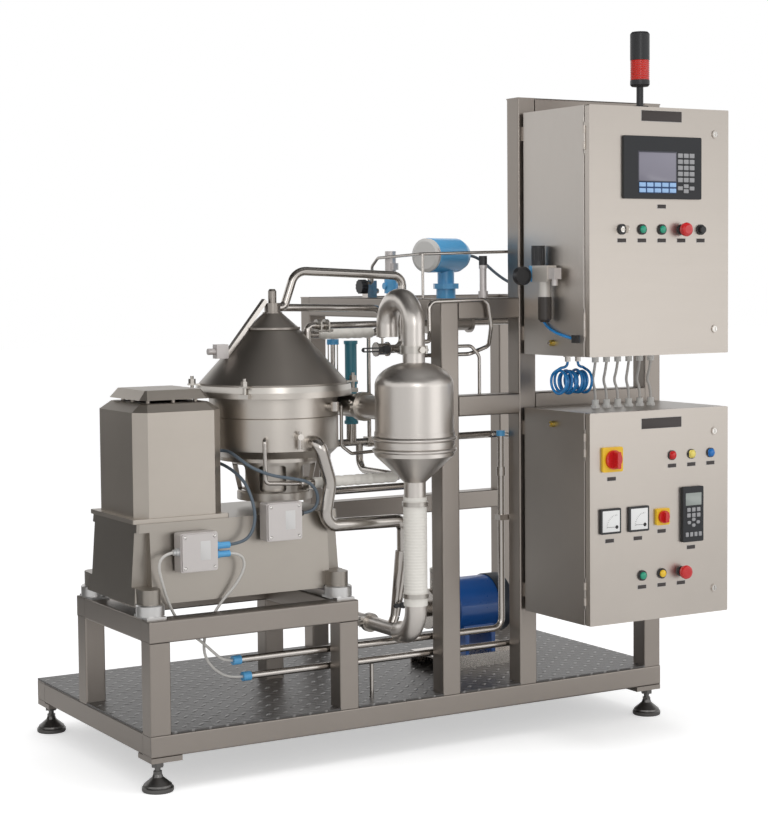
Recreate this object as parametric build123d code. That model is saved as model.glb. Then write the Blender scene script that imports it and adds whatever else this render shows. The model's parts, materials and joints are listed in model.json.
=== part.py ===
"""Skid-mounted centrifugal separator, built from separate pieces.

Working frame: x runs along the front of the skid from its left end, y runs
back from the skid's front face, and z is the height above the floor.
"""
from build123d import *
import math
import os

# Skid: box section, deck plate and levelling feet
SKID_L = 1710.0
SKID_W = 850.0
BOX = 60.0
BOX_WALL = 3.0
BOX_ROUND = 5.0
CAP_T = 4.0
DECK_T = 5.0
FOOT_INSET = 30.0
FOOT_BASE_D = 86.0
FOOT_RUBBER_T = 14.0
FOOT_STUD_D = 16.0
FOOT_NUT_AF = 30.0
FOOT_NUT_T = 16.0
FOOT_PLATE_Z = 81.0
FOOT_PLATE_T = 14.0
FOOT_PLATE_W = 90.0

# Table under the separator
STAND_L = 635.0
STAND_W = 515.0
STAND_TOP = 461.0

# Panel frame: left edges of its posts and the levels of its rails
POST_A_X = 916.0
POST_B_X = 1185.0
FRAME_TOP = 1300.0
PANEL_TOP = 1881.0
MID_RAIL_TOP = 1020.0
BACK_RAIL_TOP = 633.0

# Cabinets
CAB_W = 500.0
CAB_DEPTH = 300.0
CAB_GAP_TO_POST = 10.0
CAB_SHEET = 2.0
CAB_LIP = 18.0
UPPER_CAB_H = 700.0
UPPER_CAB_Z = 1135.0
LOWER_CAB_H = 600.0
LOWER_CAB_Z = 378.0
DOOR_T = 20.0
DOOR_GAP = 6.0
HINGE_D = 10.0
HINGE_PIN_D = 5.0
HINGE_FIT = 0.05
KNUCKLE_L = 22.0
HINGE_INSET = 90.0
LOCK_D = 24.0
LOCK_EDGE = 50.0
LOCK_END = 70.0
LOCK_CAM = 42.0
LOCK_FIT = 0.05
LOCK_CORE_R = 8.0

# Operator controls, from the door's hinge edge and above the door's foot
CONTROL_PITCH = 71.0
CONTROL_FIRST = 112.0
CONTROL_HOLE_D = 22.0
CONTROL_BEZEL_D = 30.0
BUTTON_D = 21.0
BUTTON_STROKE = 4.0
STOP_HEAD_D = 40.0
STOP_REACH = 34.0
STOP_STROKE = 6.0
UPPER_ROW_Z = 356.0
LOWER_ROW_Z = 130.0
LAMP_ROW_Z = 468.0
LAMP_FIRST = 292.0
METER_W = 72.0
METER_Z = 294.0
HMI_W = 280.0
HMI_H = 176.0
HMI_Z = 530.0
KEYPAD_W = 76.0
KEYPAD_H = 160.0
MAIN_SWITCH_W = 70.0
SELECTOR_W = 48.0
RUN_FIT = 0.1

# Beacon on the upper cabinet
BEACON_D = 56.0
BEACON_Y = -232.0
BEACON_POLE_H = 67.0
BEACON_BASE_H = 17.0
BEACON_LENS_H = 58.0
BEACON_TOP_H = 80.0

# Separator: machine base, feet and drive
MACHINE_Y = 257.0
BOWL_X = 508.0
MOTOR_X = 151.0
MACHINE_FOOT_X = (30.0, 605.0)
MACHINE_FOOT_Y = (62.0, 453.0)
DAMPER_PLATE_T = 7.0
DAMPER_D = 77.0
DAMPER_H = 30.0
BASE_FOOT_D = 56.0
BASE_FOOT_H = 40.0
BASE_Z = 490.0
BASE_TOP = 708.0
BASE_WALL = 14.0
BASE_TAPER = 16.0
BASE_X = (-3.0, 640.0)
BASE_Y = (83.0, 431.0)
COVER_PLATE_T = 12.0
COVER_X = (21.0, 282.0)
COVER_Y = (111.0, 403.0)
COVER_CHAMFER = 32.0
COVER_TOP = 1005.0
COVER_SHEET = 2.5
ROOF_INSET = 30.0
ROOF_RISE = 22.0
HAT_GAP = 9.0
HAT_RISE = 26.0
MOTOR_D = 190.0
MOTOR_L = 230.0
SHAFT_D = 28.0
SPINDLE_D = 34.0
MOTOR_PULLEY_D = 150.0
BOWL_PULLEY_D = 75.0
PULLEY_Z = 600.0
PULLEY_W = 44.0
BELT_W = 36.0
BELT_T = 3.0
BELT_GAP = 0.3
BEARING_W = 18.0
BEARING_R = 34.0
FOOT_BEARING_Z = 548.0
NECK_BEARING_Z = 772.0

# Separator: bowl and casing heights and radii
NECK_R = 62.0
RING_R = 108.0
RING_Z = (733.0, 755.0)
PEDESTAL_R = 124.0
PEDESTAL_TOP = 848.0
LOWER_RIM_R = 162.0
LOWER_RIM_Z = 858.0
CASING_R = 185.0
CASING_Z = 880.0
SEAM_Z = 972.0
FLANGE_R = 224.0
FLANGE_Z = (1030.0, 1046.0)
CLAMP_RING_Z = 1062.0
HOOD_R = 212.0
HOOD_SEAM_R = 76.0
HOOD_SEAM_Z = 1217.0
HOOD_NECK_R = 28.0
HOOD_NECK_Z = 1263.0
HEAD_R = 23.0
HEAD_TOP = 1292.0
HOOD_BOLT_ANGLES = (-137, -17, 43, 103, 163)
CASING_WALL = 6.0
BOWL_R = 150.0
BOWL_Z = (885.0, 1000.0)
BOWL_WALL = 12.0
BOWL_HOOD_Z = 1125.0
BOWL_NECK_R = 46.0
DISC_COUNT = 9
DISC_PITCH = 9.0
DISC_T = 1.5
DISTRIBUTOR_R = 38.0
SEAT_GAP = 0.3

# Cyclone, vent, hose and solids pipe
CYCLONE_X = 796.0
CYCLONE_Y = -45.0
CYCLONE_R = 111.0
CYCLONE_TOP = 1060.0
CYCLONE_DOME_H = 66.0
CYCLONE_BAND_Z = 862.0
CYCLONE_NECK_Z = 787.0
CYCLONE_OUT_R = 31.0
CYCLONE_WALL = 3.0
CYCLONE_OUT_Z = 745.0
CYCLONE_BANDS = (866.0, 892.0, 918.0)
VENT_D = 63.0
VENT_LEG = 144.0
VENT_TOP = 1331.0
VENT_MOUTH_Z = 1192.0
VENT_CLAMP_Z = 1168.0
HOSE_D = 68.0
HOSE_Z = (437.0, 745.0)
DRAIN_D = 62.0
DRAIN_Z = 348.0
DRAIN_BEND = 75.0
DRAIN_END_Y = 330.0
DRAIN_SMALL_D = 40.0
SOLIDS_Z = 994.0
SOLIDS_D = 67.0
SOLIDS_X = 727.0
SOLIDS_BEND = 42.0
SOLIDS_START_Y = 300.0

# Process pipes: outside diameters, and the levels and rows that the runs keep
PIPE_D = 25.0
LINE_D = 22.0
TUBE_D = 20.0
SMALL_TUBE_D = 12.0
THIN_TUBE_D = 10.0
LARGE_PIPE_D = 38.0
PIPE_WALL = 1.5
CLAMP_RISE = 8.0
HEAD_OUT_Z = 1279.0
ARCH_TOP = 1384.0
ARCH_END = (899.0, 186.0)
ARCH_BENDS = (19.0, 45.0, 30.0, 28.0)
VALVE_Z = 1153.0
VALVE_L = 38.0
VALVE_R = 17.0
LEVER_L = 76.0
RETURN_TURN = 40.0
RETURN_X = 890.0
RETURN_Z = (1270.0, 1199.0)
METER_START = (606.0, 230.0)
METER_ROW_Z = 1225.0
METER_COLUMN_X = 1337.0
LINE_BENDS = (32.0, 32.0, 32.0, 24.0, 32.0, 32.0)
FLOW_X = (1010.0, 1165.0)
FLOW_D = 42.0
LOWER_ROW_Y = 352.0
LOWER_ROW_PIPE_Z = 869.0
BYPASS_X = (720.0, 1060.0)
BYPASS_Z = 726.0
BLOCK_X = 880.0
GLASS_LOW = 1000.0
GLASS_TOP = 1180.0
INDICATOR_X = (757.0, 818.0)
INDICATOR_Z = (925.0, 1174.0)
FEED_X = 512.0
FEED_Y = 102.0
FEED_Z = 787.0
FEED_TURN_X = 845.0
SAMPLE_Z = 922.0
BLEED_ANGLE = -60.0
BLEED_Z = 1002.0
LOOP_Z = (1181.0, 1292.0, 1136.0)
FUNNEL_TOP = (842.0, 96.0, 572.0)
FUNNEL_END = (812.0, 96.0, 385.0)
THROTTLE_Y = 458.0
SOLENOID_Y = 330.0
RAIL_TUBE_Z = 1429.0
POST_ROD_Y = 104.0
KNOB_RIBS = 12

# Transmitter, air unit, junction boxes, conduits and glands
TRANSMITTER_X = 1079.0
TRANSMITTER_R = 51.0
TRANSMITTER_L = 186.0
TRANSMITTER_Z = 1426.0
TRANSMITTER_TURN = 22.0
AIR_X = 1168.0
AIR_Y = (-122.0, -154.0)
AIR_Z = 1369.0
AIR_BOWL_Z = 1231.0
JUNCTION_W = 110.0
JUNCTION_H = 106.0
JUNCTION_DEPTH = 40.0
JUNCTION_BACK_Y = 82.0
JUNCTION_BOXES = ((112.0, 576.0, 2), (371.0, 640.0, 1))
SENSOR_AT = (344.0, 260.0, 1158.0)
SENDER_AT = (1080.0, 30.0)
CONDUIT_D = 20.0
CONDUIT_Y = 76.0
CONDUIT_Z = (316.0, 268.0)
CONDUIT_LEFT = (292.0, 322.0)
CONDUIT_CLIP_X = 605.0
FRAME_CLIP_X = 946.0
CONDUIT_POST_X = 720.0
RISER_X = 1170.0
RISER_TOP = 890.0
RISER_CLIP_Z = 640.0
UNION_Z = 772.0
RUN_RIGHT_X = 1262.0
CABLE_HOLE_R = 4.2
GLAND_Y = -160.0
GLAND_FIRST_X = 1342.0
GLAND_PITCH = 40.6
GLAND_COUNT = 6
BULKHEAD_FIRST_X = 1258.0
BULKHEAD_PITCH = 36.0
BULKHEAD_COUNT = 2
EARTH_Y = -157.0
EARTH_Z = (1171.0, 939.0)
COVER_GLANDS = ((200.0, 885.0), (236.0, 850.0))
BOX_GLAND_Y = 57.0
SENDER_GLAND = (1282.0, 1330.0)

# Cables and air hose: a cord's arcs take this share of the shorter run at each corner
CORD_SHARE = 0.45
DARK_CABLE_D = 9.0
LIGHT_CABLE_D = 8.0
AIR_HOSE_D = 8.0
COIL_X = (1216.0, 1326.0)
COIL_R = 36.0
COIL_Z = 1067.0
CORD_NODES = ("dark_cables", "light_cables", "air_hoses")
DARK_ROUTES = {
    "cover_to_right_box": [(296, 200, 885), (316, 197, 884), (322, 165, 882), (320, 110, 870), (336, 66, 846),
                           (395, 52, 820), (465, 48, 808), (512, 50, 796), (540, 56, 764), (542, 62, 729),
                           (522, 67, 709.5), (497, 67, 709)],
    "cover_to_left_box": [(296, 236, 850), (314, 232, 848), (319, 190, 842), (318, 130, 830), (326, 82, 806),
                          (338, 62, 760), (346, 58, 712), (336, 57, 668), (306, 57, 642), (264, 57, 640)],
    "transmitter_to_cabinet": [(1180.6, 271, 1426), (1216, 283, 1425), (1250, 276, 1402), (1268, 238, 1368),
                               (1276, 176, 1340), (1280, 104, 1331), (1282, 8, 1330)],
}
LIGHT_ROUTES = {
    "left_box_to_conduit": [(96, 57, 631), (70, 58, 627), (54, 60, 600), (66, 62, 552), (84, 68, 500), (108, 72, 452),
                            (144, 74, 410), (190, 75, 374), (226, 76, 340), (250, 76, 320), (278, 76, 316)],
    "right_gland_to_conduit": [(264, 57, 616), (296, 57, 613), (312, 58, 588), (304, 60, 556), (280, 64, 520),
                               (246, 69, 486), (216, 74, 442), (200, 84, 396), (197, 90, 346), (217, 88, 305),
                               (249, 81, 279), (280, 76, 269), (308, 76, 268)],
}
AIR_ROUTE = [(1178, -122, 1346), (1180, -116, 1316), (1184, -108, 1286), (1187, -106, 1256), (1189, -120, 1228),
             (1190, -152, 1208), (1190, -200, 1194), (1190, -262, 1185)]

# Pump and its motor on the deck
PUMP_X = 1150.0
PUMP_Y = 352.0
PUMP_BASE_H = 40.0
PUMP_MOTOR_D = 176.0
PUMP_MOTOR_L = 150.0
PUMP_SHAFT_Z = 340.0

RAIL_Z = FOOT_PLATE_Z + FOOT_PLATE_T
RAIL_TOP = RAIL_Z + BOX
DECK_TOP = RAIL_TOP + DECK_T
POST_C_X = SKID_L - BOX
REAR_Y = SKID_W - BOX
CAB_X = SKID_L - 15.0 - CAB_W
CAB_BACK = -CAB_GAP_TO_POST
CAB_FRONT = CAB_BACK - CAB_DEPTH + DOOR_GAP
DOOR_BACK = CAB_FRONT - DOOR_GAP
DOOR_FACE = DOOR_BACK - DOOR_T
HINGE_Y = DOOR_BACK + DOOR_GAP / 2
METER_X = (CAB_X + 68.0, CAB_X + 168.0)
MAIN_SWITCH_X = CAB_X + 75.0
KEYPAD_X = CAB_X + 362.0

nodes = {}


def add(node, *solids):
    """Puts solids into a node, in the order given."""
    kept = nodes.setdefault(node, [])
    for item in solids:
        kept.extend(item if isinstance(item, (list, tuple)) else [item])


def block(x, y, z):
    """A rectangular block between two values on each axis."""
    size = [abs(pair[1] - pair[0]) for pair in (x, y, z)]
    middle = [(pair[0] + pair[1]) / 2 for pair in (x, y, z)]
    return Pos(*middle) * Box(*size)


def rod(start, end, radius):
    """A round bar from one point to another."""
    a = Vector(*start)
    b = Vector(*end)
    plane = Plane(origin=a, z_dir=b - a)
    return plane * Cylinder(radius, (b - a).length, align=(Align.CENTER, Align.CENTER, Align.MIN))


def ring(start, end, outer, inner):
    """A round bar with a bore along it."""
    return rod(start, end, outer) - rod(start, end, inner)


def upright(x, y, z, radius):
    """A vertical bar between two heights."""
    return rod((x, y, z[0]), (x, y, z[1]), radius)


def turned(x, y, profile):
    """A profile of radius and height turned about a vertical axis."""
    outline = Plane.XZ * Polyline(*profile, close=True)
    return Pos(x, y, 0) * revolve(make_face(outline), Axis.Z)


def hexagon(x, y, z, across):
    """A vertical hexagon nut or head between two heights, without its thread."""
    flat = Plane(origin=(x, y, z[0])) * RegularPolygon(across / 2, 6, major_radius=False)
    return extrude(flat, z[1] - z[0])


def section_tube(start, end):
    """A straight length of square box section, open at its ends."""
    a = Vector(*start)
    b = Vector(*end)
    along = b - a
    side = Vector(0, 1, 0) if abs(along.X) > 0.5 * along.length else Vector(1, 0, 0)
    plane = Plane(origin=a, x_dir=side, z_dir=along)
    outside = RectangleRounded(BOX, BOX, BOX_ROUND)
    inside = RectangleRounded(BOX - 2 * BOX_WALL, BOX - 2 * BOX_WALL, BOX_ROUND - BOX_WALL + 1)
    return extrude(plane * (outside - inside), along.length)


def post(x, y, z0, z1):
    """An upright of box section with a cap plate on its top."""
    tube = section_tube((x + BOX / 2, y + BOX / 2, z0), (x + BOX / 2, y + BOX / 2, z1 - CAP_T))
    cap = block((x, x + BOX), (y, y + BOX), (z1 - CAP_T, z1))
    return [tube, cap]


def rail_x(x0, x1, y, top):
    """A rail of box section along x, given its front face and its top."""
    return section_tube((x0, y + BOX / 2, top - BOX / 2), (x1, y + BOX / 2, top - BOX / 2))


def rail_y(x, y0, y1, top):
    """A rail of box section along y, given its left face and its top."""
    return section_tube((x + BOX / 2, y0, top - BOX / 2), (x + BOX / 2, y1, top - BOX / 2))


def pipe(points, diameter, bend):
    """Straight lengths and bends of one pipe, each a solid of its own, end to end.

    bend is one radius for every corner, or a radius for each.
    """
    path = [Vector(*p) for p in points]
    radius = diameter / 2
    bends = bend if isinstance(bend, (list, tuple)) else [bend] * (len(path) - 2)
    solids = []
    begin = path[0]
    for before, corner, after, sweep_r in zip(path, path[1:], path[2:], bends):
        into = (corner - before).normalized()
        out = (after - corner).normalized()
        turn = math.radians(into.get_angle(out))
        cut = sweep_r * math.tan(turn / 2)
        start = corner - into * cut
        end = corner + out * cut
        if (start - begin).length > 0.01:
            solids.append(rod(tuple(begin), tuple(start), radius))
        arc = TangentArc(start, end, tangent=into)
        solids.append(sweep(Plane(origin=start, z_dir=into) * Circle(radius), path=arc))
        begin = end
    solids.append(rod(tuple(begin), tuple(path[-1]), radius))
    return solids


def pipe_clamp(centre, axis, diameter):
    """A two-part clamp round a ferrule joint, with its closing bolt and wing nut at one side."""
    middle = Vector(*centre)
    along = Vector(*axis).normalized()
    width = 0.2 * diameter + 8
    outer = diameter / 2 + CLAMP_RISE
    a = tuple(middle - along * (width / 2))
    b = tuple(middle + along * (width / 2))
    band = rod(a, b, outer) - rod(a, b, diameter / 2)
    side = Vector(0, -1, 0) if abs(along.Y) < 0.7 else Vector(-1, 0, 0)
    across = along.cross(side)
    lug = middle + side * (outer + 5)
    bolt = rod(tuple(lug - across * 11), tuple(lug + across * 20), 3.2)
    ear = rod(tuple(middle + side * (outer - 2)), tuple(middle + side * (outer + 9)), width / 2 - 1)
    wing = rod(tuple(lug + across * 14 - along * 11), tuple(lug + across * 14 + along * 11), 3.6)
    return [band + ear + bolt + wing]


def facing(x, z, profile, axis_y=None):
    """A profile of radius and reach out of the door's face, turned about an axis along y."""
    face_y = DOOR_FACE if axis_y is None else axis_y
    plane = Plane(origin=(x, face_y, z), x_dir=(1, 0, 0), z_dir=(0, 0, -1))
    outline = plane * Polyline(*profile, close=True)
    return revolve(make_face(outline), Axis((x, face_y, z), (0, -1, 0)))


def skid():
    """Rails on their foot plates, and the deck plate notched round what stands on the rails."""
    plug = BOX - 2 * BOX_WALL
    for y in (0, REAR_Y):
        add("skid_rails", rail_x(0, SKID_L, y, RAIL_TOP))
        for x in (0, SKID_L - CAP_T):
            middle = (y + BOX / 2, RAIL_TOP - BOX / 2)
            add("skid_rails", block((x, x + CAP_T), (middle[0] - plug / 2 + 1, middle[0] + plug / 2 - 1),
                                    (middle[1] - plug / 2 + 1, middle[1] + plug / 2 - 1)))
    for x in (0, STAND_L - BOX, POST_A_X, SKID_L - BOX):
        add("skid_rails", rail_y(x, BOX, REAR_Y, RAIL_TOP))
    for x in (0, SKID_L - FOOT_PLATE_W):
        for y in (0, SKID_W - FOOT_PLATE_W):
            plate = block((x, x + FOOT_PLATE_W), (y, y + FOOT_PLATE_W), (FOOT_PLATE_Z, RAIL_Z))
            for foot in foot_places():
                plate -= upright(*foot, (FOOT_PLATE_Z - 1, RAIL_Z + 1), FOOT_STUD_D / 2 + RUN_FIT)
            add("skid_rails", plate)
    deck = block((0, SKID_L), (0, SKID_W), (RAIL_TOP, DECK_TOP))
    for x, y in stand_legs() + frame_posts():
        deck -= block((x, x + BOX), (y, y + BOX), (RAIL_TOP - 1, DECK_TOP + 1))
    add("deck_plate", deck)


def foot_places():
    """The centres of the four levelling feet."""
    return [(x, y) for x in (FOOT_INSET, SKID_L - FOOT_INSET) for y in (FOOT_INSET, SKID_W - FOOT_INSET)]


def levelling_feet():
    """Rubber base, domed cup, stud and nuts under each corner."""
    pad = FOOT_BASE_D / 2
    cup = FOOT_RUBBER_T + 24
    for x, y in foot_places():
        rubber = turned(x, y, [(0, 0), (pad - 2, 0), (pad, 3), (pad, FOOT_RUBBER_T - 3),
                               (pad - 3, FOOT_RUBBER_T), (0, FOOT_RUBBER_T)])
        dome = turned(x, y, [(0, FOOT_RUBBER_T), (pad - 4, FOOT_RUBBER_T), (pad - 5, FOOT_RUBBER_T + 5),
                             (15, cup), (12, cup + 8), (0, cup + 8)])
        stud = upright(x, y, (cup + 8, RAIL_Z - 1), FOOT_STUD_D / 2)
        nut = hexagon(x, y, (FOOT_PLATE_Z - FOOT_NUT_T, FOOT_PLATE_Z), FOOT_NUT_AF)
        lower = hexagon(x, y, (cup + 8, cup + 16), FOOT_NUT_AF - 8)
        hole = upright(x, y, (cup, RAIL_Z), FOOT_STUD_D / 2)
        add("levelling_feet", rubber, dome, stud, nut - hole, lower - hole)


def stand_legs():
    """The left and front edges of the table's legs."""
    return [(x, y) for x in (0, STAND_L - BOX) for y in (0, STAND_W - BOX)]


def frame_posts():
    """The left and front edges of the panel frame's posts."""
    front = [(x, 0) for x in (POST_A_X, POST_B_X, POST_C_X)]
    return front + [(x, REAR_Y) for x in (POST_A_X, POST_C_X)]


def stand():
    """The table under the separator: four legs and four top rails."""
    under = STAND_TOP - BOX
    plug = BOX / 2 - BOX_WALL - 1
    for x, y in stand_legs():
        add("stand_frame", section_tube((x + BOX / 2, y + BOX / 2, RAIL_TOP), (x + BOX / 2, y + BOX / 2, under)))
    for y in (0, STAND_W - BOX):
        add("stand_frame", rail_x(0, STAND_L, y, STAND_TOP))
        for x in (0, STAND_L - CAP_T):
            add("stand_frame", block((x, x + CAP_T), (y + BOX / 2 - plug, y + BOX / 2 + plug),
                                     (under + BOX / 2 - plug, under + BOX / 2 + plug)))
    for x in (0, STAND_L - BOX):
        add("stand_frame", rail_y(x, BOX, STAND_W - BOX, STAND_TOP))


def panel_frame():
    """Posts and rails that carry the cabinets and the pipework."""
    tops = {POST_A_X: FRAME_TOP, POST_B_X: PANEL_TOP, POST_C_X: PANEL_TOP}
    for x, y in frame_posts():
        top = FRAME_TOP if y else tops[x]
        add("panel_frame", *post(x, y, RAIL_TOP, top))
    for top in (FRAME_TOP, MID_RAIL_TOP):
        add("panel_frame", rail_x(POST_A_X + BOX, POST_B_X, 0, top), rail_x(POST_B_X + BOX, POST_C_X, 0, top))
    add("panel_frame", rail_x(POST_B_X + BOX, POST_C_X, 0, PANEL_TOP))
    for x in (POST_A_X, POST_C_X):
        add("panel_frame", rail_y(x, BOX, REAR_Y, FRAME_TOP))
    for top in (FRAME_TOP, BACK_RAIL_TOP):
        add("panel_frame", rail_x(POST_A_X + BOX, POST_C_X, REAR_Y, top))


def cabinet(node, z, height):
    """A sheet cabinet open at the front, with its fixing blocks, mounting plate and hinge knuckles."""
    right = CAB_X + CAB_W
    shell = block((CAB_X, right), (CAB_FRONT, CAB_BACK), (z, z + height))
    shell = fillet(shell.edges().filter_by(Axis.Z), 3)
    shell -= block((CAB_X + CAB_SHEET, right - CAB_SHEET), (CAB_FRONT + CAB_SHEET, CAB_BACK - CAB_SHEET),
                   (z + CAB_SHEET, z + height - CAB_SHEET))
    shell -= block((CAB_X + CAB_LIP, right - CAB_LIP), (CAB_FRONT - 1, CAB_FRONT + CAB_SHEET + 1),
                   (z + CAB_LIP, z + height - CAB_LIP))
    for level in hinge_levels(z, height):
        shell -= upright(CAB_X, HINGE_Y, (level - 2 * KNUCKLE_L, level + 2 * KNUCKLE_L), HINGE_D / 2 + 0.5)
        span = (level - KNUCKLE_L / 2, level + KNUCKLE_L / 2)
        knuckle = upright(CAB_X, HINGE_Y, span, HINGE_D / 2)
        knuckle += block((CAB_X, CAB_X + CAB_SHEET), (HINGE_Y, CAB_FRONT + HINGE_D), span)
        knuckle -= upright(CAB_X, HINGE_Y, (level - KNUCKLE_L, level + KNUCKLE_L), HINGE_PIN_D / 2 + HINGE_FIT)
        shell += knuckle
    add(node, shell)
    for x in (POST_B_X + BOX / 2, POST_C_X + BOX / 2):
        for level in (z + 60, z + height - 60):
            left = max(x - 16, CAB_X)
            right_edge = min(x + 16, right)
            add(node, block((left, right_edge), (CAB_BACK, 0), (level - 20, level + 20)))
    plate_y = CAB_BACK - CAB_SHEET - 12
    add(node, block((CAB_X + 30, right - 30), (plate_y - 3, plate_y), (z + 30, z + height - 30)))
    for x in (CAB_X + 45, right - 45):
        for level in (z + 45, z + height - 45):
            add(node, rod((x, plate_y, level), (x, CAB_BACK - CAB_SHEET, level), 6))
    rows = 3
    for row in range(rows):
        level = z + height * (row + 1) / (rows + 1)
        add(node, block((CAB_X + 50, right - 50), (plate_y - 10, plate_y - 3), (level - 17, level + 17)))
        for slot in range(4):
            left = CAB_X + 62 + slot * 96
            add(node, block((left, left + 70), (plate_y - 90, plate_y - 10), (level - 42, level + 42)))


def hinge_levels(z, height):
    """The middles of a door's two hinges."""
    return (z + HINGE_INSET, z + height - HINGE_INSET)


def lock_levels(z, height):
    """The axes of a door's two locks."""
    return (z + LOCK_END, z + height - LOCK_END)


def door(node, z, height, round_holes, square_holes):
    """A folded door with its hinge knuckles and pins, lock bushes and the cut-outs for its controls."""
    right = CAB_X + CAB_W
    leaf = block((CAB_X, right), (DOOR_FACE, DOOR_BACK), (z, z + height))
    leaf = fillet(leaf.edges().filter_by(Axis.Y), 3)
    leaf -= block((CAB_X + CAB_SHEET, right - CAB_SHEET), (DOOR_FACE + CAB_SHEET, DOOR_BACK + 1),
                  (z + CAB_SHEET, z + height - CAB_SHEET))
    for x, level, radius in round_holes:
        leaf -= rod((x, DOOR_FACE - 1, level), (x, DOOR_FACE + CAB_SHEET + 1, level), radius)
    for x, level, wide, high in square_holes:
        leaf -= block((x - wide / 2, x + wide / 2), (DOOR_FACE - 1, DOOR_FACE + CAB_SHEET + 1),
                      (level - high / 2, level + high / 2))
    for level in hinge_levels(z, height):
        leaf -= upright(CAB_X, HINGE_Y, (level - KNUCKLE_L / 2 - 1, level + KNUCKLE_L / 2 + 1), HINGE_D / 2 + 0.5)
        reach = 1.5 * KNUCKLE_L
        barrel = upright(CAB_X, HINGE_Y, (level - reach, level + reach), HINGE_D / 2)
        barrel -= upright(CAB_X, HINGE_Y, (level - KNUCKLE_L / 2 - 0.5, level + KNUCKLE_L / 2 + 0.5), HINGE_D)
        leaf += barrel
        leaf += upright(CAB_X, HINGE_Y, (level - reach, level + reach), HINGE_PIN_D / 2)
    for level in lock_levels(z, height):
        leaf -= rod((lock_x(), DOOR_FACE - 1, level), (lock_x(), DOOR_FACE + 3, level), LOCK_D / 2)
        leaf += facing(lock_x(), level, [(LOCK_CORE_R + LOCK_FIT, 2.5), (LOCK_D / 2, 2.5), (LOCK_D / 2, -18),
                                         (LOCK_CORE_R + LOCK_FIT, -18)])
    seal_in = CAB_LIP / 2 - 4
    seal = block((CAB_X + seal_in, right - seal_in), (DOOR_FACE + CAB_SHEET, CAB_FRONT - 0.3),
                 (z + seal_in, z + height - seal_in))
    seal -= block((CAB_X + seal_in + 9, right - seal_in - 9), (DOOR_FACE, CAB_FRONT),
                  (z + seal_in + 9, z + height - seal_in - 9))
    add(node, leaf, seal)


def lock_x():
    """The locks' distance along the door."""
    return CAB_X + CAB_W - LOCK_EDGE


def door_lock(node, level, up):
    """A slotted lock core with the cam on its inner end, turned clear of the cabinet's lip."""
    x = lock_x()
    core = facing(x, level, [(0, 2), (LOCK_CORE_R, 2), (LOCK_CORE_R, -34), (0, -34)])
    core -= block((x - 1.5, x + 1.5), (DOOR_FACE - 3, DOOR_FACE + 1), (level - 6, level + 6))
    tip = level + up * LOCK_CAM
    cam = block((x - 7, x + 7), (CAB_FRONT + CAB_SHEET + 2, CAB_FRONT + CAB_SHEET + 5), sorted((level, tip)))
    add(node, core + cam)


def control_x(index):
    """The place of a control's column along the door."""
    return CAB_X + CONTROL_FIRST + index * CONTROL_PITCH


def control_body(x, z, bore):
    """The fixed body of a push button: bezel, threaded sleeve, nut and contact block."""
    hole = CONTROL_HOLE_D / 2
    bezel = CONTROL_BEZEL_D / 2
    body = facing(x, z, [(bore, 6), (bezel - 1, 6), (bezel, 5), (bezel, 0), (hole, 0), (hole, -CAB_SHEET),
                         (bezel - 1, -CAB_SHEET), (bezel - 1, -9), (5 + RUN_FIT, -9), (5 + RUN_FIT, -1), (bore, -1)])
    contacts = block((x - 14, x + 14), (DOOR_FACE + 9, DOOR_FACE + 46), (z - 16, z + 16))
    contacts -= rod((x, DOOR_FACE, z), (x, DOOR_FACE + 40, z), 5 + RUN_FIT)
    return body + contacts


def push_button(node, x, z, proud):
    """A button's cap and stem, free to slide in its body."""
    cap = BUTTON_D / 2
    add(node, facing(x, z, [(0, 6 + proud), (cap - 1, 6 + proud), (cap, 5 + proud), (cap, 3.5), (5, 3.5),
                            (5, -28), (0, -28)]))


def stop_button(node, x, z):
    """An emergency stop's mushroom head on its stem."""
    head = STOP_HEAD_D / 2
    add(node, facing(x, z, [(0, STOP_REACH), (head - 8, STOP_REACH), (head - 2, STOP_REACH - 3),
                            (head, STOP_REACH - 8), (head - 1, STOP_REACH - 16), (8, STOP_REACH - 20),
                            (8, 6 + STOP_STROKE + 1), (8, 5.5), (5, 5.5), (5, -28), (0, -28)]))


def turn_switch(node, x, z, radius, reach):
    """A rotary switch's knob with its grip bar and shaft."""
    knob = facing(x, z, [(0, 16), (radius, 16), (radius, 8.3), (4, 8.3), (4, -30), (0, -30)])
    grip = block((x - 6, x + 6), (DOOR_FACE - reach, DOOR_FACE - 12), (z - radius + 3, z + radius - 3))
    add(node, knob + fillet(grip.edges().filter_by(Axis.Y), 4))


def switch_plate(x, z, width):
    """A rotary switch's square plate and its body behind the door."""
    plate = block((x - width / 2, x + width / 2), (DOOR_FACE - 8, DOOR_FACE), (z - width / 2, z + width / 2))
    plate = fillet(plate.edges().filter_by(Axis.Y), 5)
    body = block((x - width / 2 + 4, x + width / 2 - 4), (DOOR_FACE + CAB_SHEET, DOOR_FACE + 50),
                 (z - width / 2 + 4, z + width / 2 - 4))
    neck = rod((x, DOOR_FACE, z), (x, DOOR_FACE + CAB_SHEET, z), 8)
    bore = rod((x, DOOR_FACE - 10, z), (x, DOOR_FACE + 40, z), 4 + RUN_FIT)
    return plate + neck + body - bore


def framed_box(x, z, wide, high, proud, inset, depth):
    """A panel instrument: a bezel on the door's face and its case behind the cut-out."""
    front = block((x - wide / 2, x + wide / 2), (DOOR_FACE - proud, DOOR_FACE), (z - high / 2, z + high / 2))
    front = fillet(front.edges().filter_by(Axis.Y), 4)
    front = chamfer(front.faces().sort_by(Axis.Y)[0].edges(), 1)
    case = block((x - wide / 2 + inset, x + wide / 2 - inset), (DOOR_FACE, DOOR_FACE + depth),
                 (z - high / 2 + inset, z + high / 2 - inset))
    return front + case


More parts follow.
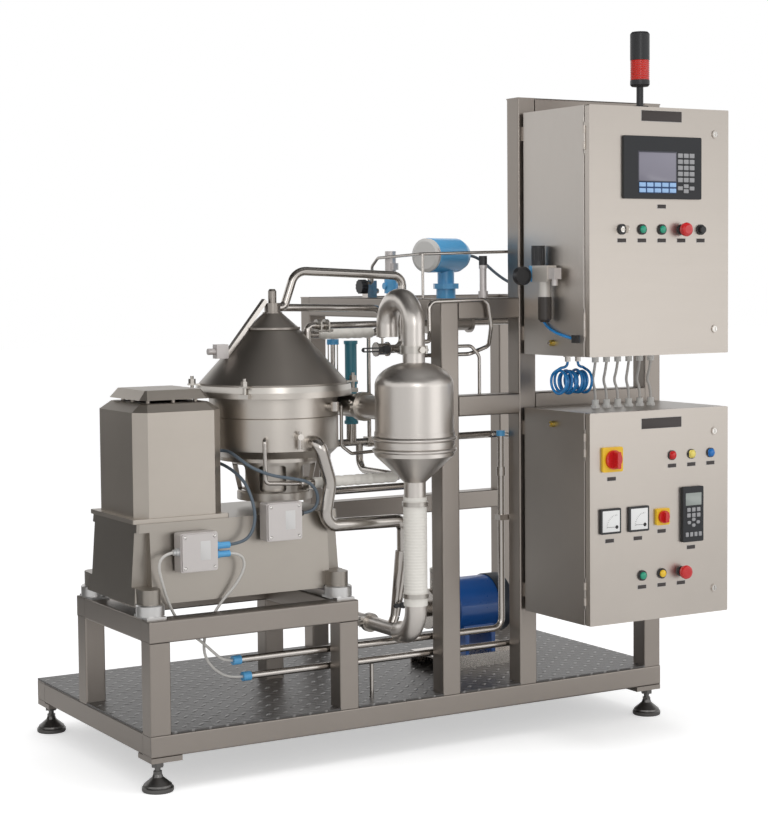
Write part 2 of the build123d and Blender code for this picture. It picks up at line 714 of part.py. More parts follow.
def lamp_x(index):
    """The place of a pilot lamp along the door."""
    return CAB_X + LAMP_FIRST + index * CONTROL_PITCH


def upper_panel():
    """Upper cabinet, its door, the operator panel and the row of controls."""
    cabinet("upper_cabinet", UPPER_CAB_Z, UPPER_CAB_H)
    row = UPPER_CAB_Z + UPPER_ROW_Z
    screen = UPPER_CAB_Z + HMI_Z
    holes = [(control_x(i), row, CONTROL_HOLE_D / 2) for i in range(5)]
    door("upper_door", UPPER_CAB_Z, UPPER_CAB_H, holes, [(control_x(2), screen, HMI_W - 24, HMI_H - 24)])
    add("operator_panel", framed_box(control_x(2), screen, HMI_W, HMI_H, 8, 12, 60))
    bores = (8 + RUN_FIT, BUTTON_D / 2 + RUN_FIT, BUTTON_D / 2 + RUN_FIT, 8 + RUN_FIT, BUTTON_D / 2 + RUN_FIT)
    for i, bore in enumerate(bores):
        add("upper_door_fittings", control_body(control_x(i), row, bore))
    key = facing(control_x(0), row, [(0, 7), (8, 7), (8, 0), (5, 0), (5, -28), (0, -28)])
    blade = block((control_x(0) - 1, control_x(0) + 1), (DOOR_FACE - 16, DOOR_FACE - 7), (row - 4, row + 4))
    bow = rod((control_x(0) - 1, DOOR_FACE - 24, row), (control_x(0) + 1, DOOR_FACE - 24, row), 11)
    add("key_switch", key + blade + bow)
    push_button("left_start_button", control_x(1), row, 3)
    push_button("right_start_button", control_x(2), row, 3)
    stop_button("upper_stop_button", control_x(3), row)
    push_button("reset_button", control_x(4), row, 9)
    for name, level in zip(("upper_door_lock_a", "upper_door_lock_b"), lock_levels(UPPER_CAB_Z, UPPER_CAB_H)):
        door_lock(name, level, 1 if level > screen else -1)


def lower_panel():
    """Lower cabinet, its door, the meters, lamps, drive keypad and controls."""
    cabinet("lower_cabinet", LOWER_CAB_Z, LOWER_CAB_H)
    row = LOWER_CAB_Z + LOWER_ROW_Z
    lamps = LOWER_CAB_Z + LAMP_ROW_Z
    meters = LOWER_CAB_Z + METER_Z
    holes = [(control_x(i), row, CONTROL_HOLE_D / 2) for i in (1, 2, 3)]
    holes += [(lamp_x(i), lamps, CONTROL_HOLE_D / 2) for i in range(3)]
    holes += [(x, meters, METER_W / 2 - 5) for x in METER_X]
    holes += [(MAIN_SWITCH_X, lamps, 8), (control_x(2), meters, 8)]
    door("lower_door", LOWER_CAB_Z, LOWER_CAB_H, holes, [(KEYPAD_X, meters, KEYPAD_W - 16, KEYPAD_H - 16)])
    add("drive_keypad", framed_box(KEYPAD_X, meters, KEYPAD_W, KEYPAD_H, 12, 8, 30))
    for x in METER_X:
        front = framed_box(x, meters, METER_W, METER_W, 8, METER_W / 2 - 20, 1)
        can = rod((x, DOOR_FACE, meters), (x, DOOR_FACE + 50, meters), METER_W / 2 - 5)
        add("lower_door_fittings", front + can)
    for i in range(3):
        lens = CONTROL_HOLE_D / 2
        add("lower_door_fittings", facing(lamp_x(i), lamps, [(0, 13), (lens - 4, 12), (lens - 1, 9), (lens, 5), (14, 4),
                                                     (14, 0), (lens, 0), (lens, -40), (0, -40)]))
    add("lower_door_fittings", switch_plate(MAIN_SWITCH_X, lamps, MAIN_SWITCH_W))
    add("lower_door_fittings", switch_plate(control_x(2), meters, SELECTOR_W))
    turn_switch("main_switch", MAIN_SWITCH_X, lamps, 27, 38)
    turn_switch("selector_switch", control_x(2), meters, 18, 28)
    bores = (BUTTON_D / 2 + RUN_FIT, BUTTON_D / 2 + RUN_FIT, 8 + RUN_FIT)
    for i, bore in zip((1, 2, 3), bores):
        add("lower_door_fittings", control_body(control_x(i), row, bore))
    push_button("green_button", control_x(1), row, 3)
    push_button("yellow_button", control_x(2), row, 3)
    stop_button("lower_stop_button", control_x(3), row)
    for name, level in zip(("lower_door_lock_a", "lower_door_lock_b"), lock_levels(LOWER_CAB_Z, LOWER_CAB_H)):
        door_lock(name, level, 1 if level > meters else -1)


def beacon():
    """The stack light: foot, pole, black base, red lens and black top."""
    x = control_x(2)
    z = UPPER_CAB_Z + UPPER_CAB_H
    levels = [z, z + 6]
    half = BEACON_D / 2
    add("stack_light", turned(x, BEACON_Y, [(0, levels[0]), (half + 6, levels[0]), (half + 6, levels[0] + 3),
                                            (half - 4, levels[1] + 5), (0, levels[1] + 5)]))
    levels = [levels[1] + 5]
    for rise in (BEACON_POLE_H - 11, BEACON_BASE_H, BEACON_LENS_H, BEACON_TOP_H):
        levels.append(levels[-1] + rise)
    add("stack_light", upright(x, BEACON_Y, levels[:2], 10))
    add("stack_light", turned(x, BEACON_Y, [(0, levels[1]), (half - 4, levels[1]), (half, levels[1] + 5),
                                            (half, levels[2]), (0, levels[2])]))
    add("stack_light", upright(x, BEACON_Y, levels[2:4], half - 1))
    add("stack_light", turned(x, BEACON_Y, [(0, levels[3]), (half, levels[3]), (half, levels[4] - 6),
                                            (half - 5, levels[4]), (0, levels[4])]))


def machine_feet():
    """Damper under each corner of the machine: fixing plate, damping disc and bolts."""
    plate_top = STAND_TOP + DAMPER_PLATE_T
    disc_top = plate_top + DAMPER_H
    for x in MACHINE_FOOT_X:
        for y in MACHINE_FOOT_Y:
            add("machine_feet", block((x - 28, x + 28), (y - 44, y + 44), (STAND_TOP, plate_top)))
            add("machine_feet", turned(x, y, [(0, plate_top), (DAMPER_D / 2, plate_top),
                                              (DAMPER_D / 2, disc_top - 3), (DAMPER_D / 2 - 3, disc_top),
                                              (0, disc_top)]))


def corner_outline(x, y, z, cut):
    """A rectangle with cut corners, at one height."""
    middle = ((x[0] + x[1]) / 2, (y[0] + y[1]) / 2)
    size = (x[1] - x[0], y[1] - y[0])
    face = Rectangle(*size)
    face = chamfer(face.vertices(), cut)
    return Pos(middle[0], middle[1], z) * face


def cover_outline(inset, z):
    """The motor cover's outline, set in by a margin, at one height."""
    x = (COVER_X[0] + inset, COVER_X[1] - inset)
    y = (COVER_Y[0] + inset, COVER_Y[1] - inset)
    return corner_outline(x, y, z, max(3.0, COVER_CHAMFER - (2 - math.sqrt(2)) * inset))


def machine_base():
    """The tapered housing under the bowl: hollow, with a foot and a recess at each corner."""
    def layer(margin, z):
        slope = BASE_TAPER * (z - BASE_Z) / (BASE_TOP - BASE_Z)
        inset = slope + margin
        return corner_outline((BASE_X[0] + inset, BASE_X[1] - inset), (BASE_Y[0] + inset, BASE_Y[1] - inset),
                              z, 6)
    body = loft([layer(0, BASE_Z), layer(0, BASE_TOP)])
    hollow = loft([layer(BASE_WALL, BASE_Z - 1), layer(BASE_WALL, BASE_TOP - BASE_WALL)])
    foot_z = (STAND_TOP + DAMPER_PLATE_T + DAMPER_H, STAND_TOP + DAMPER_PLATE_T + DAMPER_H + BASE_FOOT_H)
    for x in MACHINE_FOOT_X:
        outward = -1 if x < MACHINE_FOOT_X[-1] else 1
        edge = BASE_X[0] if outward < 0 else BASE_X[1]
        for y in MACHINE_FOOT_Y:
            front = y < MACHINE_FOOT_Y[-1]
            face_y = BASE_Y[0] if front else BASE_Y[1]
            inward = 1 if front else -1
            pocket_x = sorted((edge + outward * 10, edge - outward * 50))
            pocket_y = sorted((face_y - inward * 10, face_y + inward * 34))
            wall_x = sorted((edge + outward * 10, edge - outward * 64))
            wall_y = sorted((face_y - inward * 10, face_y + inward * 48))
            hollow -= block(wall_x, wall_y, (BASE_Z - 2, BASE_TOP))
            body -= block(pocket_x, pocket_y, (foot_z[1], BASE_TOP - 24))
            body -= upright(x, y, (BASE_Z - 1, foot_z[0]), DAMPER_D / 2 + 2)
            body += upright(x, y, foot_z, BASE_FOOT_D / 2)
            body += block((x - BASE_FOOT_D / 2, x + BASE_FOOT_D / 2), sorted((y, face_y + inward * 34)), foot_z)
    body -= hollow
    body -= upright(BOWL_X, MACHINE_Y, (BASE_TOP - 2 * BASE_WALL, BASE_TOP + 1), NECK_R)
    body -= upright(MOTOR_X, MACHINE_Y, (BASE_TOP - 2 * BASE_WALL, BASE_TOP + 1), SHAFT_D / 2 + 20)
    bridge = block((BOWL_X - 45, BOWL_X + 45), (BASE_Y[0] + 8, BASE_Y[1] - 8), (FOOT_BEARING_Z - 2, FOOT_BEARING_Z + 20))
    bridge -= upright(BOWL_X, MACHINE_Y, (FOOT_BEARING_Z, FOOT_BEARING_Z + 21), BEARING_R)
    bridge -= upright(BOWL_X, MACHINE_Y, (BASE_Z, FOOT_BEARING_Z + 1), SPINDLE_D / 2 + 4)
    add("machine_base", body + bridge)


def motor_cover():
    """The sheet cover over the motor, its fixing plate, sloped roof and raised hat."""
    plate_top = BASE_TOP + COVER_PLATE_T
    plate = corner_outline((COVER_X[0] - 17, COVER_X[1] + 6), (COVER_Y[0] - 6, COVER_Y[1] + 6), BASE_TOP, 3)
    plate = extrude(plate, COVER_PLATE_T)
    plate -= upright(MOTOR_X, MACHINE_Y, (BASE_TOP - 1, plate_top + 1), SHAFT_D / 2 + 20)
    add("motor_cover", plate)
    roof = COVER_TOP + ROOF_RISE
    walls = extrude(cover_outline(0, plate_top), COVER_TOP - plate_top)
    walls -= extrude(cover_outline(COVER_SHEET, plate_top - 1), COVER_TOP - plate_top + 1)
    slope = loft([cover_outline(0, COVER_TOP), cover_outline(ROOF_INSET, roof)])
    slope -= loft([cover_outline(COVER_SHEET, COVER_TOP), cover_outline(ROOF_INSET + COVER_SHEET, roof - 1)])
    slope -= extrude(cover_outline(ROOF_INSET + 30, COVER_TOP), ROOF_RISE + 5)
    add("motor_cover", walls + slope)
    hat_z = roof + HAT_GAP
    hat = loft([cover_outline(ROOF_INSET - 4, hat_z), cover_outline(ROOF_INSET + 18, hat_z + HAT_RISE)])
    hat -= loft([cover_outline(ROOF_INSET - 1.5, hat_z - 0.1),
                 cover_outline(ROOF_INSET + 20, hat_z + HAT_RISE - COVER_SHEET)])
    add("motor_cover", hat)
    middle = ((COVER_X[0] + COVER_X[1]) / 2, (COVER_Y[0] + COVER_Y[1]) / 2)
    reach = (middle[0] - COVER_X[0] - ROOF_INSET - 22, middle[1] - COVER_Y[0] - ROOF_INSET - 22)
    for dx, dy in ((1, 0), (-1, 0), (0, 1), (0, -1), (1, 1), (1, -1), (-1, 1), (-1, -1)):
        x = middle[0] + dx * reach[0] * (1 if dx * dy == 0 else 0.9)
        y = middle[1] + dy * reach[1] * (1 if dx * dy == 0 else 0.9)
        add("motor_cover", upright(x, y, (roof, hat_z + HAT_RISE - COVER_SHEET), 6))


def drive():
    """Motor with its rotor and pulley, the belt, and the bowl spindle in its two bearings."""
    flange_z = BASE_TOP + COVER_PLATE_T
    body_z = (flange_z + 14, flange_z + 14 + MOTOR_L)
    bore = MOTOR_D / 2 - 35
    case = upright(MOTOR_X, MACHINE_Y, (flange_z, flange_z + 14), MOTOR_D / 2 + 20)
    case += upright(MOTOR_X, MACHINE_Y, body_z, MOTOR_D / 2)
    case -= upright(MOTOR_X, MACHINE_Y, (body_z[0] + 10, body_z[1] - 12), bore)
    case -= upright(MOTOR_X, MACHINE_Y, (flange_z - 1, body_z[1] + 1), SHAFT_D / 2 + RUN_FIT)
    for index in range(18):
        fin = block((MOTOR_D / 2 - 2, MOTOR_D / 2 + 9), (-1.5, 1.5), (body_z[0] + 8, body_z[1] - 8))
        case += Pos(MOTOR_X, MACHINE_Y, 0) * Rot(0, 0, index * 20) * fin
    add("drive_motor", case)
    pulley_z = (PULLEY_Z, PULLEY_Z + PULLEY_W)
    rotor = upright(MOTOR_X, MACHINE_Y, (body_z[0] + 20, body_z[1] - 22), bore - 1)
    rotor += upright(MOTOR_X, MACHINE_Y, (PULLEY_Z, body_z[1] + 10), SHAFT_D / 2)
    add("motor_rotor", rotor)
    add("motor_rotor", pulley(MOTOR_X, MOTOR_PULLEY_D / 2, SHAFT_D / 2, pulley_z))
    spindle = turned(BOWL_X, MACHINE_Y, [(0, FOOT_BEARING_Z), (SPINDLE_D / 2, FOOT_BEARING_Z),
                                         (SPINDLE_D / 2, BOWL_Z[0] + BOWL_WALL), (SPINDLE_D / 2 - 6, BOWL_Z[0] + 60),
                                         (0, BOWL_Z[0] + 60)])
    add("bowl_spindle", spindle, pulley(BOWL_X, BOWL_PULLEY_D / 2, SPINDLE_D / 2, pulley_z))
    for z in (FOOT_BEARING_Z, NECK_BEARING_Z):
        add("spindle_bearings", ring((BOWL_X, MACHINE_Y, z), (BOWL_X, MACHINE_Y, z + BEARING_W), BEARING_R,
                                     SPINDLE_D / 2 + HINGE_FIT))
    add("drive_belt", belt())


def pulley(x, radius, bore, z):
    """A crowned pulley with a rim at each side of its belt."""
    rim = 3
    return turned(x, MACHINE_Y, [(bore, z[0]), (radius + rim, z[0]), (radius + rim, z[0] + 3), (radius, z[0] + 3),
                                 (radius, z[1] - 3), (radius + rim, z[1] - 3), (radius + rim, z[1]), (bore, z[1])])


def belt():
    """A flat belt round the two pulleys, running a hair off their rims."""
    middle = PULLEY_Z + PULLEY_W / 2
    def loop(extra):
        circles = [(MOTOR_X, MOTOR_PULLEY_D / 2 + extra), (BOWL_X, BOWL_PULLEY_D / 2 + extra)]
        span = circles[1][0] - circles[0][0]
        lean = math.acos((circles[0][1] - circles[1][1]) / span)
        points = []
        for side in (1, -1):
            for x, radius in circles:
                points.append((x + radius * math.cos(lean), MACHINE_Y + side * radius * math.sin(lean)))
        web = make_face(Polyline(points[0], points[1], points[3], points[2], close=True))
        shape = web
        for x, radius in circles:
            shape += Pos(x, MACHINE_Y) * Circle(radius)
        return shape
    section = loop(BELT_GAP + BELT_T) - loop(BELT_GAP)
    return extrude(Pos(0, 0, middle - BELT_W / 2) * section, BELT_W)


def pedestal():
    """The casing's foot: neck, ring flange, slotted cone and inner cylinder under the bowl casing."""
    ring_z, ring_top = RING_Z
    outer = turned(BOWL_X, MACHINE_Y, [(BEARING_R, BASE_TOP - BASE_WALL), (NECK_R, BASE_TOP - BASE_WALL),
                                       (NECK_R, ring_z), (RING_R, ring_z), (RING_R, ring_top),
                                       (RING_R - 4, ring_top), (PEDESTAL_R, PEDESTAL_TOP),
                                       (LOWER_RIM_R, PEDESTAL_TOP), (LOWER_RIM_R, LOWER_RIM_Z),
                                       (BEARING_R + 6, LOWER_RIM_Z), (BEARING_R + 6, PEDESTAL_TOP),
                                       (PEDESTAL_R - 12, PEDESTAL_TOP), (RING_R - 16, ring_top),
                                       (BEARING_R + 8, ring_top), (BEARING_R + 8, NECK_BEARING_Z + BEARING_W),
                                       (BEARING_R, NECK_BEARING_Z + BEARING_W)])
    for index in range(6):
        window = block((60, PEDESTAL_R + 20), (-38, 38), (ring_top + 6, PEDESTAL_TOP - 12))
        window = fillet(window.edges().filter_by(Axis.X), 8)
        outer -= Pos(BOWL_X, MACHINE_Y, 0) * Rot(0, 0, 60 * index) * window
    inner = turned(BOWL_X, MACHINE_Y, [(76, ring_top), (84, ring_top), (84, PEDESTAL_TOP), (76, PEDESTAL_TOP)])
    add("bowl_casing", outer, inner)


def casing():
    """The stationary casing round the bowl, with its solids outlet, and the clamp ring under the hood."""
    wall = CASING_WALL
    shell = turned(BOWL_X, MACHINE_Y, [(LOWER_RIM_R - 30, LOWER_RIM_Z), (LOWER_RIM_R, LOWER_RIM_Z),
                                       (CASING_R, CASING_Z), (CASING_R, SEAM_Z - 1.5), (CASING_R - 2, SEAM_Z),
                                       (CASING_R, SEAM_Z + 1.5), (CASING_R, FLANGE_Z[0]), (FLANGE_R, FLANGE_Z[0]),
                                       (FLANGE_R, FLANGE_Z[1]), (CASING_R - wall, FLANGE_Z[1]),
                                       (CASING_R - wall, CASING_Z + 3), (LOWER_RIM_R - wall, LOWER_RIM_Z + wall),
                                       (LOWER_RIM_R - 30, LOWER_RIM_Z + wall)])
    shell -= rod((BOWL_X, SOLIDS_START_Y, SOLIDS_Z), (SOLIDS_X, SOLIDS_START_Y, SOLIDS_Z), SOLIDS_D / 2 - 2)
    add("bowl_casing", shell)
    clamp_ring = turned(BOWL_X, MACHINE_Y, [(CASING_R + 4, FLANGE_Z[1]), (FLANGE_R, FLANGE_Z[1]),
                                            (FLANGE_R - 3, CLAMP_RING_Z), (CASING_R + 4, CLAMP_RING_Z)])
    add("hood_clamps", clamp_ring)


def bowl():
    """The bowl body with its lock ring, the bowl hood, the distributor and the disc stack."""
    low, high = BOWL_Z
    body = turned(BOWL_X, MACHINE_Y, [(SPINDLE_D / 2, low), (BOWL_R - 20, low), (BOWL_R, low + 25),
                                      (BOWL_R, high + 14), (BOWL_R - BOWL_WALL, high + 14),
                                      (BOWL_R - BOWL_WALL, low + 30), (BOWL_R - 30, low + BOWL_WALL),
                                      (SPINDLE_D / 2, low + BOWL_WALL)])
    add("bowl", body)
    inside = BOWL_R - BOWL_WALL
    cover = turned(BOWL_X, MACHINE_Y, [(inside, high), (inside, high + 12), (BOWL_NECK_R, BOWL_HOOD_Z),
                                       (BOWL_NECK_R, BOWL_HOOD_Z + 20), (BOWL_NECK_R - 10, BOWL_HOOD_Z + 20),
                                       (BOWL_NECK_R - 10, BOWL_HOOD_Z - 8), (inside - 16, high)])
    add("bowl", cover)
    slope = (BOWL_HOOD_Z - high - 12) / (inside - BOWL_NECK_R)
    bore = DISTRIBUTOR_R + SEAT_GAP
    for index in range(DISC_COUNT):
        rim = inside - 26
        z = low + 40 + index * DISC_PITCH
        top = z + slope * (rim - bore)
        add("disc_stack", turned(BOWL_X, MACHINE_Y, [(bore, top), (rim, z), (rim, z + DISC_T), (bore, top + DISC_T)]))
    add("disc_stack", turned(BOWL_X, MACHINE_Y, [(SPINDLE_D / 2 + 1, low + BOWL_WALL), (inside - 30, low + BOWL_WALL + 8),
                                                 (inside - 30, low + BOWL_WALL + 11), (DISTRIBUTOR_R, low + 36 + slope * (inside - 70)),
                                                 (DISTRIBUTOR_R, BOWL_HOOD_Z - 30), (30, BOWL_HOOD_Z - 30),
                                                 (30, low + 60), (SPINDLE_D / 2 + 1, low + 62)]))


def hood():
    """The conical hood, its seam ring, the outlet head and cap, and the bolts that clamp it."""
    wall = CASING_WALL
    shell = turned(BOWL_X, MACHINE_Y, [(CASING_R - wall, CLAMP_RING_Z), (HOOD_R, CLAMP_RING_Z),
                                       (HOOD_R, CLAMP_RING_Z + 5), (HOOD_SEAM_R, HOOD_SEAM_Z),
                                       (HOOD_SEAM_R + 3, HOOD_SEAM_Z), (HOOD_SEAM_R + 3, HOOD_SEAM_Z + 6),
                                       (HOOD_SEAM_R - 3, HOOD_SEAM_Z + 6), (HOOD_NECK_R, HOOD_NECK_Z),
                                       (HOOD_NECK_R, HOOD_NECK_Z + 3), (0, HOOD_NECK_Z + 3), (0, HOOD_NECK_Z - 4),
                                       (HOOD_NECK_R - 8, HOOD_NECK_Z - 4), (HOOD_SEAM_R - 12, HOOD_SEAM_Z),
                                       (CASING_R - 2 * wall, CLAMP_RING_Z + 6), (CASING_R - 2 * wall, CLAMP_RING_Z)])
    add("separator_hood", shell)
    head_low = HOOD_NECK_Z + 3
    head = turned(BOWL_X, MACHINE_Y, [(0, head_low), (HEAD_R, head_low), (HEAD_R, HEAD_TOP), (12, HEAD_TOP),
                                      (12, HEAD_TOP + 34), (8, HEAD_TOP + 40), (0, HEAD_TOP + 40)])
    add("separator_hood", head)
    for angle in HOOD_BOLT_ANGLES:
        turn = Pos(BOWL_X, MACHINE_Y, 0) * Rot(0, 0, angle)
        lug = block((FLANGE_R - 4, FLANGE_R + 22), (-14, 14), (FLANGE_Z[0] + 2, FLANGE_Z[1] - 2))
        lug -= block((FLANGE_R - 5, FLANGE_R + 0.1), (-15, 15), (FLANGE_Z[0], FLANGE_Z[1]))
        bolt = rod((FLANGE_R + 10, 0, FLANGE_Z[1] - 2), (FLANGE_R + 10, 0, CLAMP_RING_Z + 26), 5)
        nut = hexagon(FLANGE_R + 10, 0, (CLAMP_RING_Z + 4, CLAMP_RING_Z + 18), 18) - bolt
        strap = block((HOOD_R, FLANGE_R + 22), (-12, 12), (CLAMP_RING_Z, CLAMP_RING_Z + 4)) - bolt
        add("hood_clamps", turn * lug, turn * bolt, turn * nut, turn * strap)


def cyclone():
    """The hollow cyclone with its domed head, two bands, cone and outlet."""
    def skin(inset):
        top = CYCLONE_TOP + CYCLONE_DOME_H
        neck = VENT_D / 2 - inset
        start = math.degrees(math.acos(neck / (CYCLONE_R - inset)))
        dome = EllipticalCenterArc((0, CYCLONE_TOP), CYCLONE_R - inset, CYCLONE_DOME_H - inset, 0, arc_size=start)
        tip = dome @ 1
        lines = [dome,
                 Line(tip, (neck, VENT_CLAMP_Z - 8)), Line((neck, VENT_CLAMP_Z - 8), (0, VENT_CLAMP_Z - 8)),
                 Line((0, VENT_CLAMP_Z - 8), (0, CYCLONE_OUT_Z)), Line((0, CYCLONE_OUT_Z), (CYCLONE_OUT_R - inset, CYCLONE_OUT_Z)),
                 Line((CYCLONE_OUT_R - inset, CYCLONE_OUT_Z), (CYCLONE_OUT_R - inset, CYCLONE_NECK_Z)),
                 Line((CYCLONE_OUT_R - inset, CYCLONE_NECK_Z), (CYCLONE_R - inset, CYCLONE_BAND_Z)),
                 Line((CYCLONE_R - inset, CYCLONE_BAND_Z), dome @ 0)]
        return Pos(CYCLONE_X, CYCLONE_Y, 0) * revolve(make_face(Plane.XZ * Wire(lines)), Axis.Z)
    shell = skin(0) - skin(CYCLONE_WALL)
    for z in CYCLONE_BANDS:
        shell += ring((CYCLONE_X, CYCLONE_Y, z), (CYCLONE_X, CYCLONE_Y, z + 12), CYCLONE_R + 2.5, CYCLONE_R - 1)
    inlet = rod((SOLIDS_X, CYCLONE_Y, SOLIDS_Z), (SOLIDS_X, CYCLONE_Y + 150, SOLIDS_Z), SOLIDS_D / 2)
    shell -= inlet
    add("cyclone", shell)


def hollow_pipe(points, diameter, bend, wall):
    """A pipe's straight lengths and bends, each with its bore."""
    outer = pipe(points, diameter, bend)
    inner = pipe(points, diameter - 2 * wall, bend)
    return [a - b for a, b in zip(outer, inner)]


def vent_and_drain():
    """The vent's swan neck, the solids pipe from the casing, the hose and the drain bend."""
    high = VENT_TOP - VENT_D / 2
    back = CYCLONE_Y + VENT_LEG
    add("vent_bend", hollow_pipe([(CYCLONE_X, CYCLONE_Y, VENT_CLAMP_Z - 8), (CYCLONE_X, CYCLONE_Y, high),
                                  (CYCLONE_X, back, high), (CYCLONE_X, back, VENT_MOUTH_Z)],
                                 VENT_D, VENT_LEG / 2 - 0.01, 2))
    add("hose_and_pipe_clamps", pipe_clamp((CYCLONE_X, CYCLONE_Y, VENT_CLAMP_Z - 8), (0, 0, 1), VENT_D))
    start = BOWL_X + math.sqrt(CASING_R ** 2 - (SOLIDS_START_Y - MACHINE_Y) ** 2) - 12
    route = [(start, SOLIDS_START_Y, SOLIDS_Z), (SOLIDS_X, SOLIDS_START_Y, SOLIDS_Z), (SOLIDS_X, CYCLONE_Y, SOLIDS_Z)]
    pieces = hollow_pipe(route, SOLIDS_D, SOLIDS_BEND, 2)
    for index in (0, 1):
        pieces[index] -= upright(BOWL_X, MACHINE_Y, (SOLIDS_Z - 60, SOLIDS_Z + 60), CASING_R)
    pieces[-1] -= upright(CYCLONE_X, CYCLONE_Y, (SOLIDS_Z - 60, SOLIDS_Z + 60), CYCLONE_R - CYCLONE_WALL)
    add("solids_pipes", pieces)
    add("hose_and_pipe_clamps", pipe_clamp((SOLIDS_X, 120, SOLIDS_Z), (0, 1, 0), SOLIDS_D))
    add("drain_hose", ring((CYCLONE_X, CYCLONE_Y, HOSE_Z[0]), (CYCLONE_X, CYCLONE_Y, HOSE_Z[1]), HOSE_D / 2,
                           HOSE_D / 2 - 5))
    for z in (HOSE_Z[0] + 22, HOSE_Z[1] - 26):
        add("hose_and_pipe_clamps", ring((CYCLONE_X, CYCLONE_Y, z), (CYCLONE_X, CYCLONE_Y, z + 12), HOSE_D / 2 + 3,
                                         HOSE_D / 2))
    step = CYCLONE_Y + DRAIN_BEND + 12
    add("solids_pipes", hollow_pipe([(CYCLONE_X, CYCLONE_Y, HOSE_Z[0]), (CYCLONE_X, CYCLONE_Y, DRAIN_Z),
                                     (CYCLONE_X, step, DRAIN_Z)], DRAIN_D, DRAIN_BEND, 2))
    reducer = revolve(make_face(Plane.XZ * Polyline((DRAIN_D / 2, 0), (DRAIN_SMALL_D / 2, 20),
                                                    (DRAIN_SMALL_D / 2 - 2, 20), (DRAIN_D / 2 - 2, 0), close=True)),
                      Axis.Z)
    add("solids_pipes", Pos(CYCLONE_X, step, DRAIN_Z) * Rot(-90, 0, 0) * reducer)
    add("solids_pipes", ring((CYCLONE_X, step + 20, DRAIN_Z), (CYCLONE_X, DRAIN_END_Y, DRAIN_Z), DRAIN_SMALL_D / 2,
                             DRAIN_SMALL_D / 2 - 2))
    add("hose_and_pipe_clamps", pipe_clamp((CYCLONE_X, 215, DRAIN_Z), (0, 1, 0), DRAIN_SMALL_D))


def pump():
    """The feed pump on its channel base: motor with fan cover, rotor and pump head."""
    z = PUMP_SHAFT_Z
    y = PUMP_Y
    left = PUMP_X
    right = PUMP_X + PUMP_MOTOR_L
    half = PUMP_MOTOR_D / 2
    case = rod((left, y, z), (right, y, z), half)
    case += block((left + 20, right - 20), (y - 70, y + 70), (z - half + 8, z - 10))
    bore = half - 32
    case -= rod((left + 12, y, z), (right - 12, y, z), bore)
    case -= rod((left - 1, y, z), (right + 1, y, z), 10 + HINGE_FIT)
    add("pump_motor", case)
    for x in (left + 20, right - 34):
        add("pump_motor", block((x, x + 14), (y - 78, y + 78), (DECK_TOP + PUMP_BASE_H, z - half + 8)))
    inner = half + SEAT_GAP
    cover = turned(0, 0, [(inner, -8), (inner + 3, -8), (inner + 3, 40), (half - 10, 52), (0, 52), (0, 48),
                          (half - 12, 48), (inner, 38)])
    cover = Pos(right, y, z) * Rot(0, 90, 0) * cover
    for index in range(4):
        cover -= Pos(right, y, z) * Rot(index * 45, 0, 0) * block((46, 54), (-half + 16, half - 16), (-4, 4))
    add("pump_fan_cover", cover)
    rotor = rod((left + 16, y, z), (right - 16, y, z), bore - 1)
    rotor += rod((left - 60, y, z), (right + 34, y, z), 10)
    fan = rod((right + 8, y, z), (right + 12, y, z), half - 16)
    for index in range(8):
        fan += Pos(right, y, z) * Rot(index * 45, 0, 0) * block((12, 32), (18, half - 16), (-1.5, 1.5))
    add("pump_rotor", rotor + fan)
    head = rod((left - 74, y, z), (left, y, z), 62)
    head -= rod((left - 64, y, z), (left - 12, y, z), 52)
    head -= rod((left - 65, y, z), (left + 1, y, z), 10 + HINGE_FIT)
    head += ring((left - 110, y, z), (left - 74, y, z), 24, 19)
    head += ring((left - 36, y, z + 55), (left - 36, y, z + 110), 20, 16)
    add("pump_head", head)
    impeller = rod((left - 52, y, z), (left - 44, y, z), 46) - rod((left - 60, y, z), (left, y, z), 10)
    add("pump_rotor", impeller)
    base = block((left - 80, right + 90), (y - 85, y + 85), (DECK_TOP, DECK_TOP + PUMP_BASE_H))
    base -= block((left - 81, right + 91), (y - 79, y + 79), (DECK_TOP - 1, DECK_TOP + PUMP_BASE_H - 6))
    add("pump_head", base)


def side_tee(branch, main):
    """The solids of a branch, cut to the outside of what they run into."""
    return [solid - main for solid in branch]


def hood_cone():
    """The filled outer shape of the hood, for what is welded on its slope."""
    return turned(BOWL_X, MACHINE_Y, [(0, CLAMP_RING_Z + 5), (HOOD_R, CLAMP_RING_Z + 5),
                                      (HOOD_SEAM_R, HOOD_SEAM_Z), (0, HOOD_SEAM_Z)])


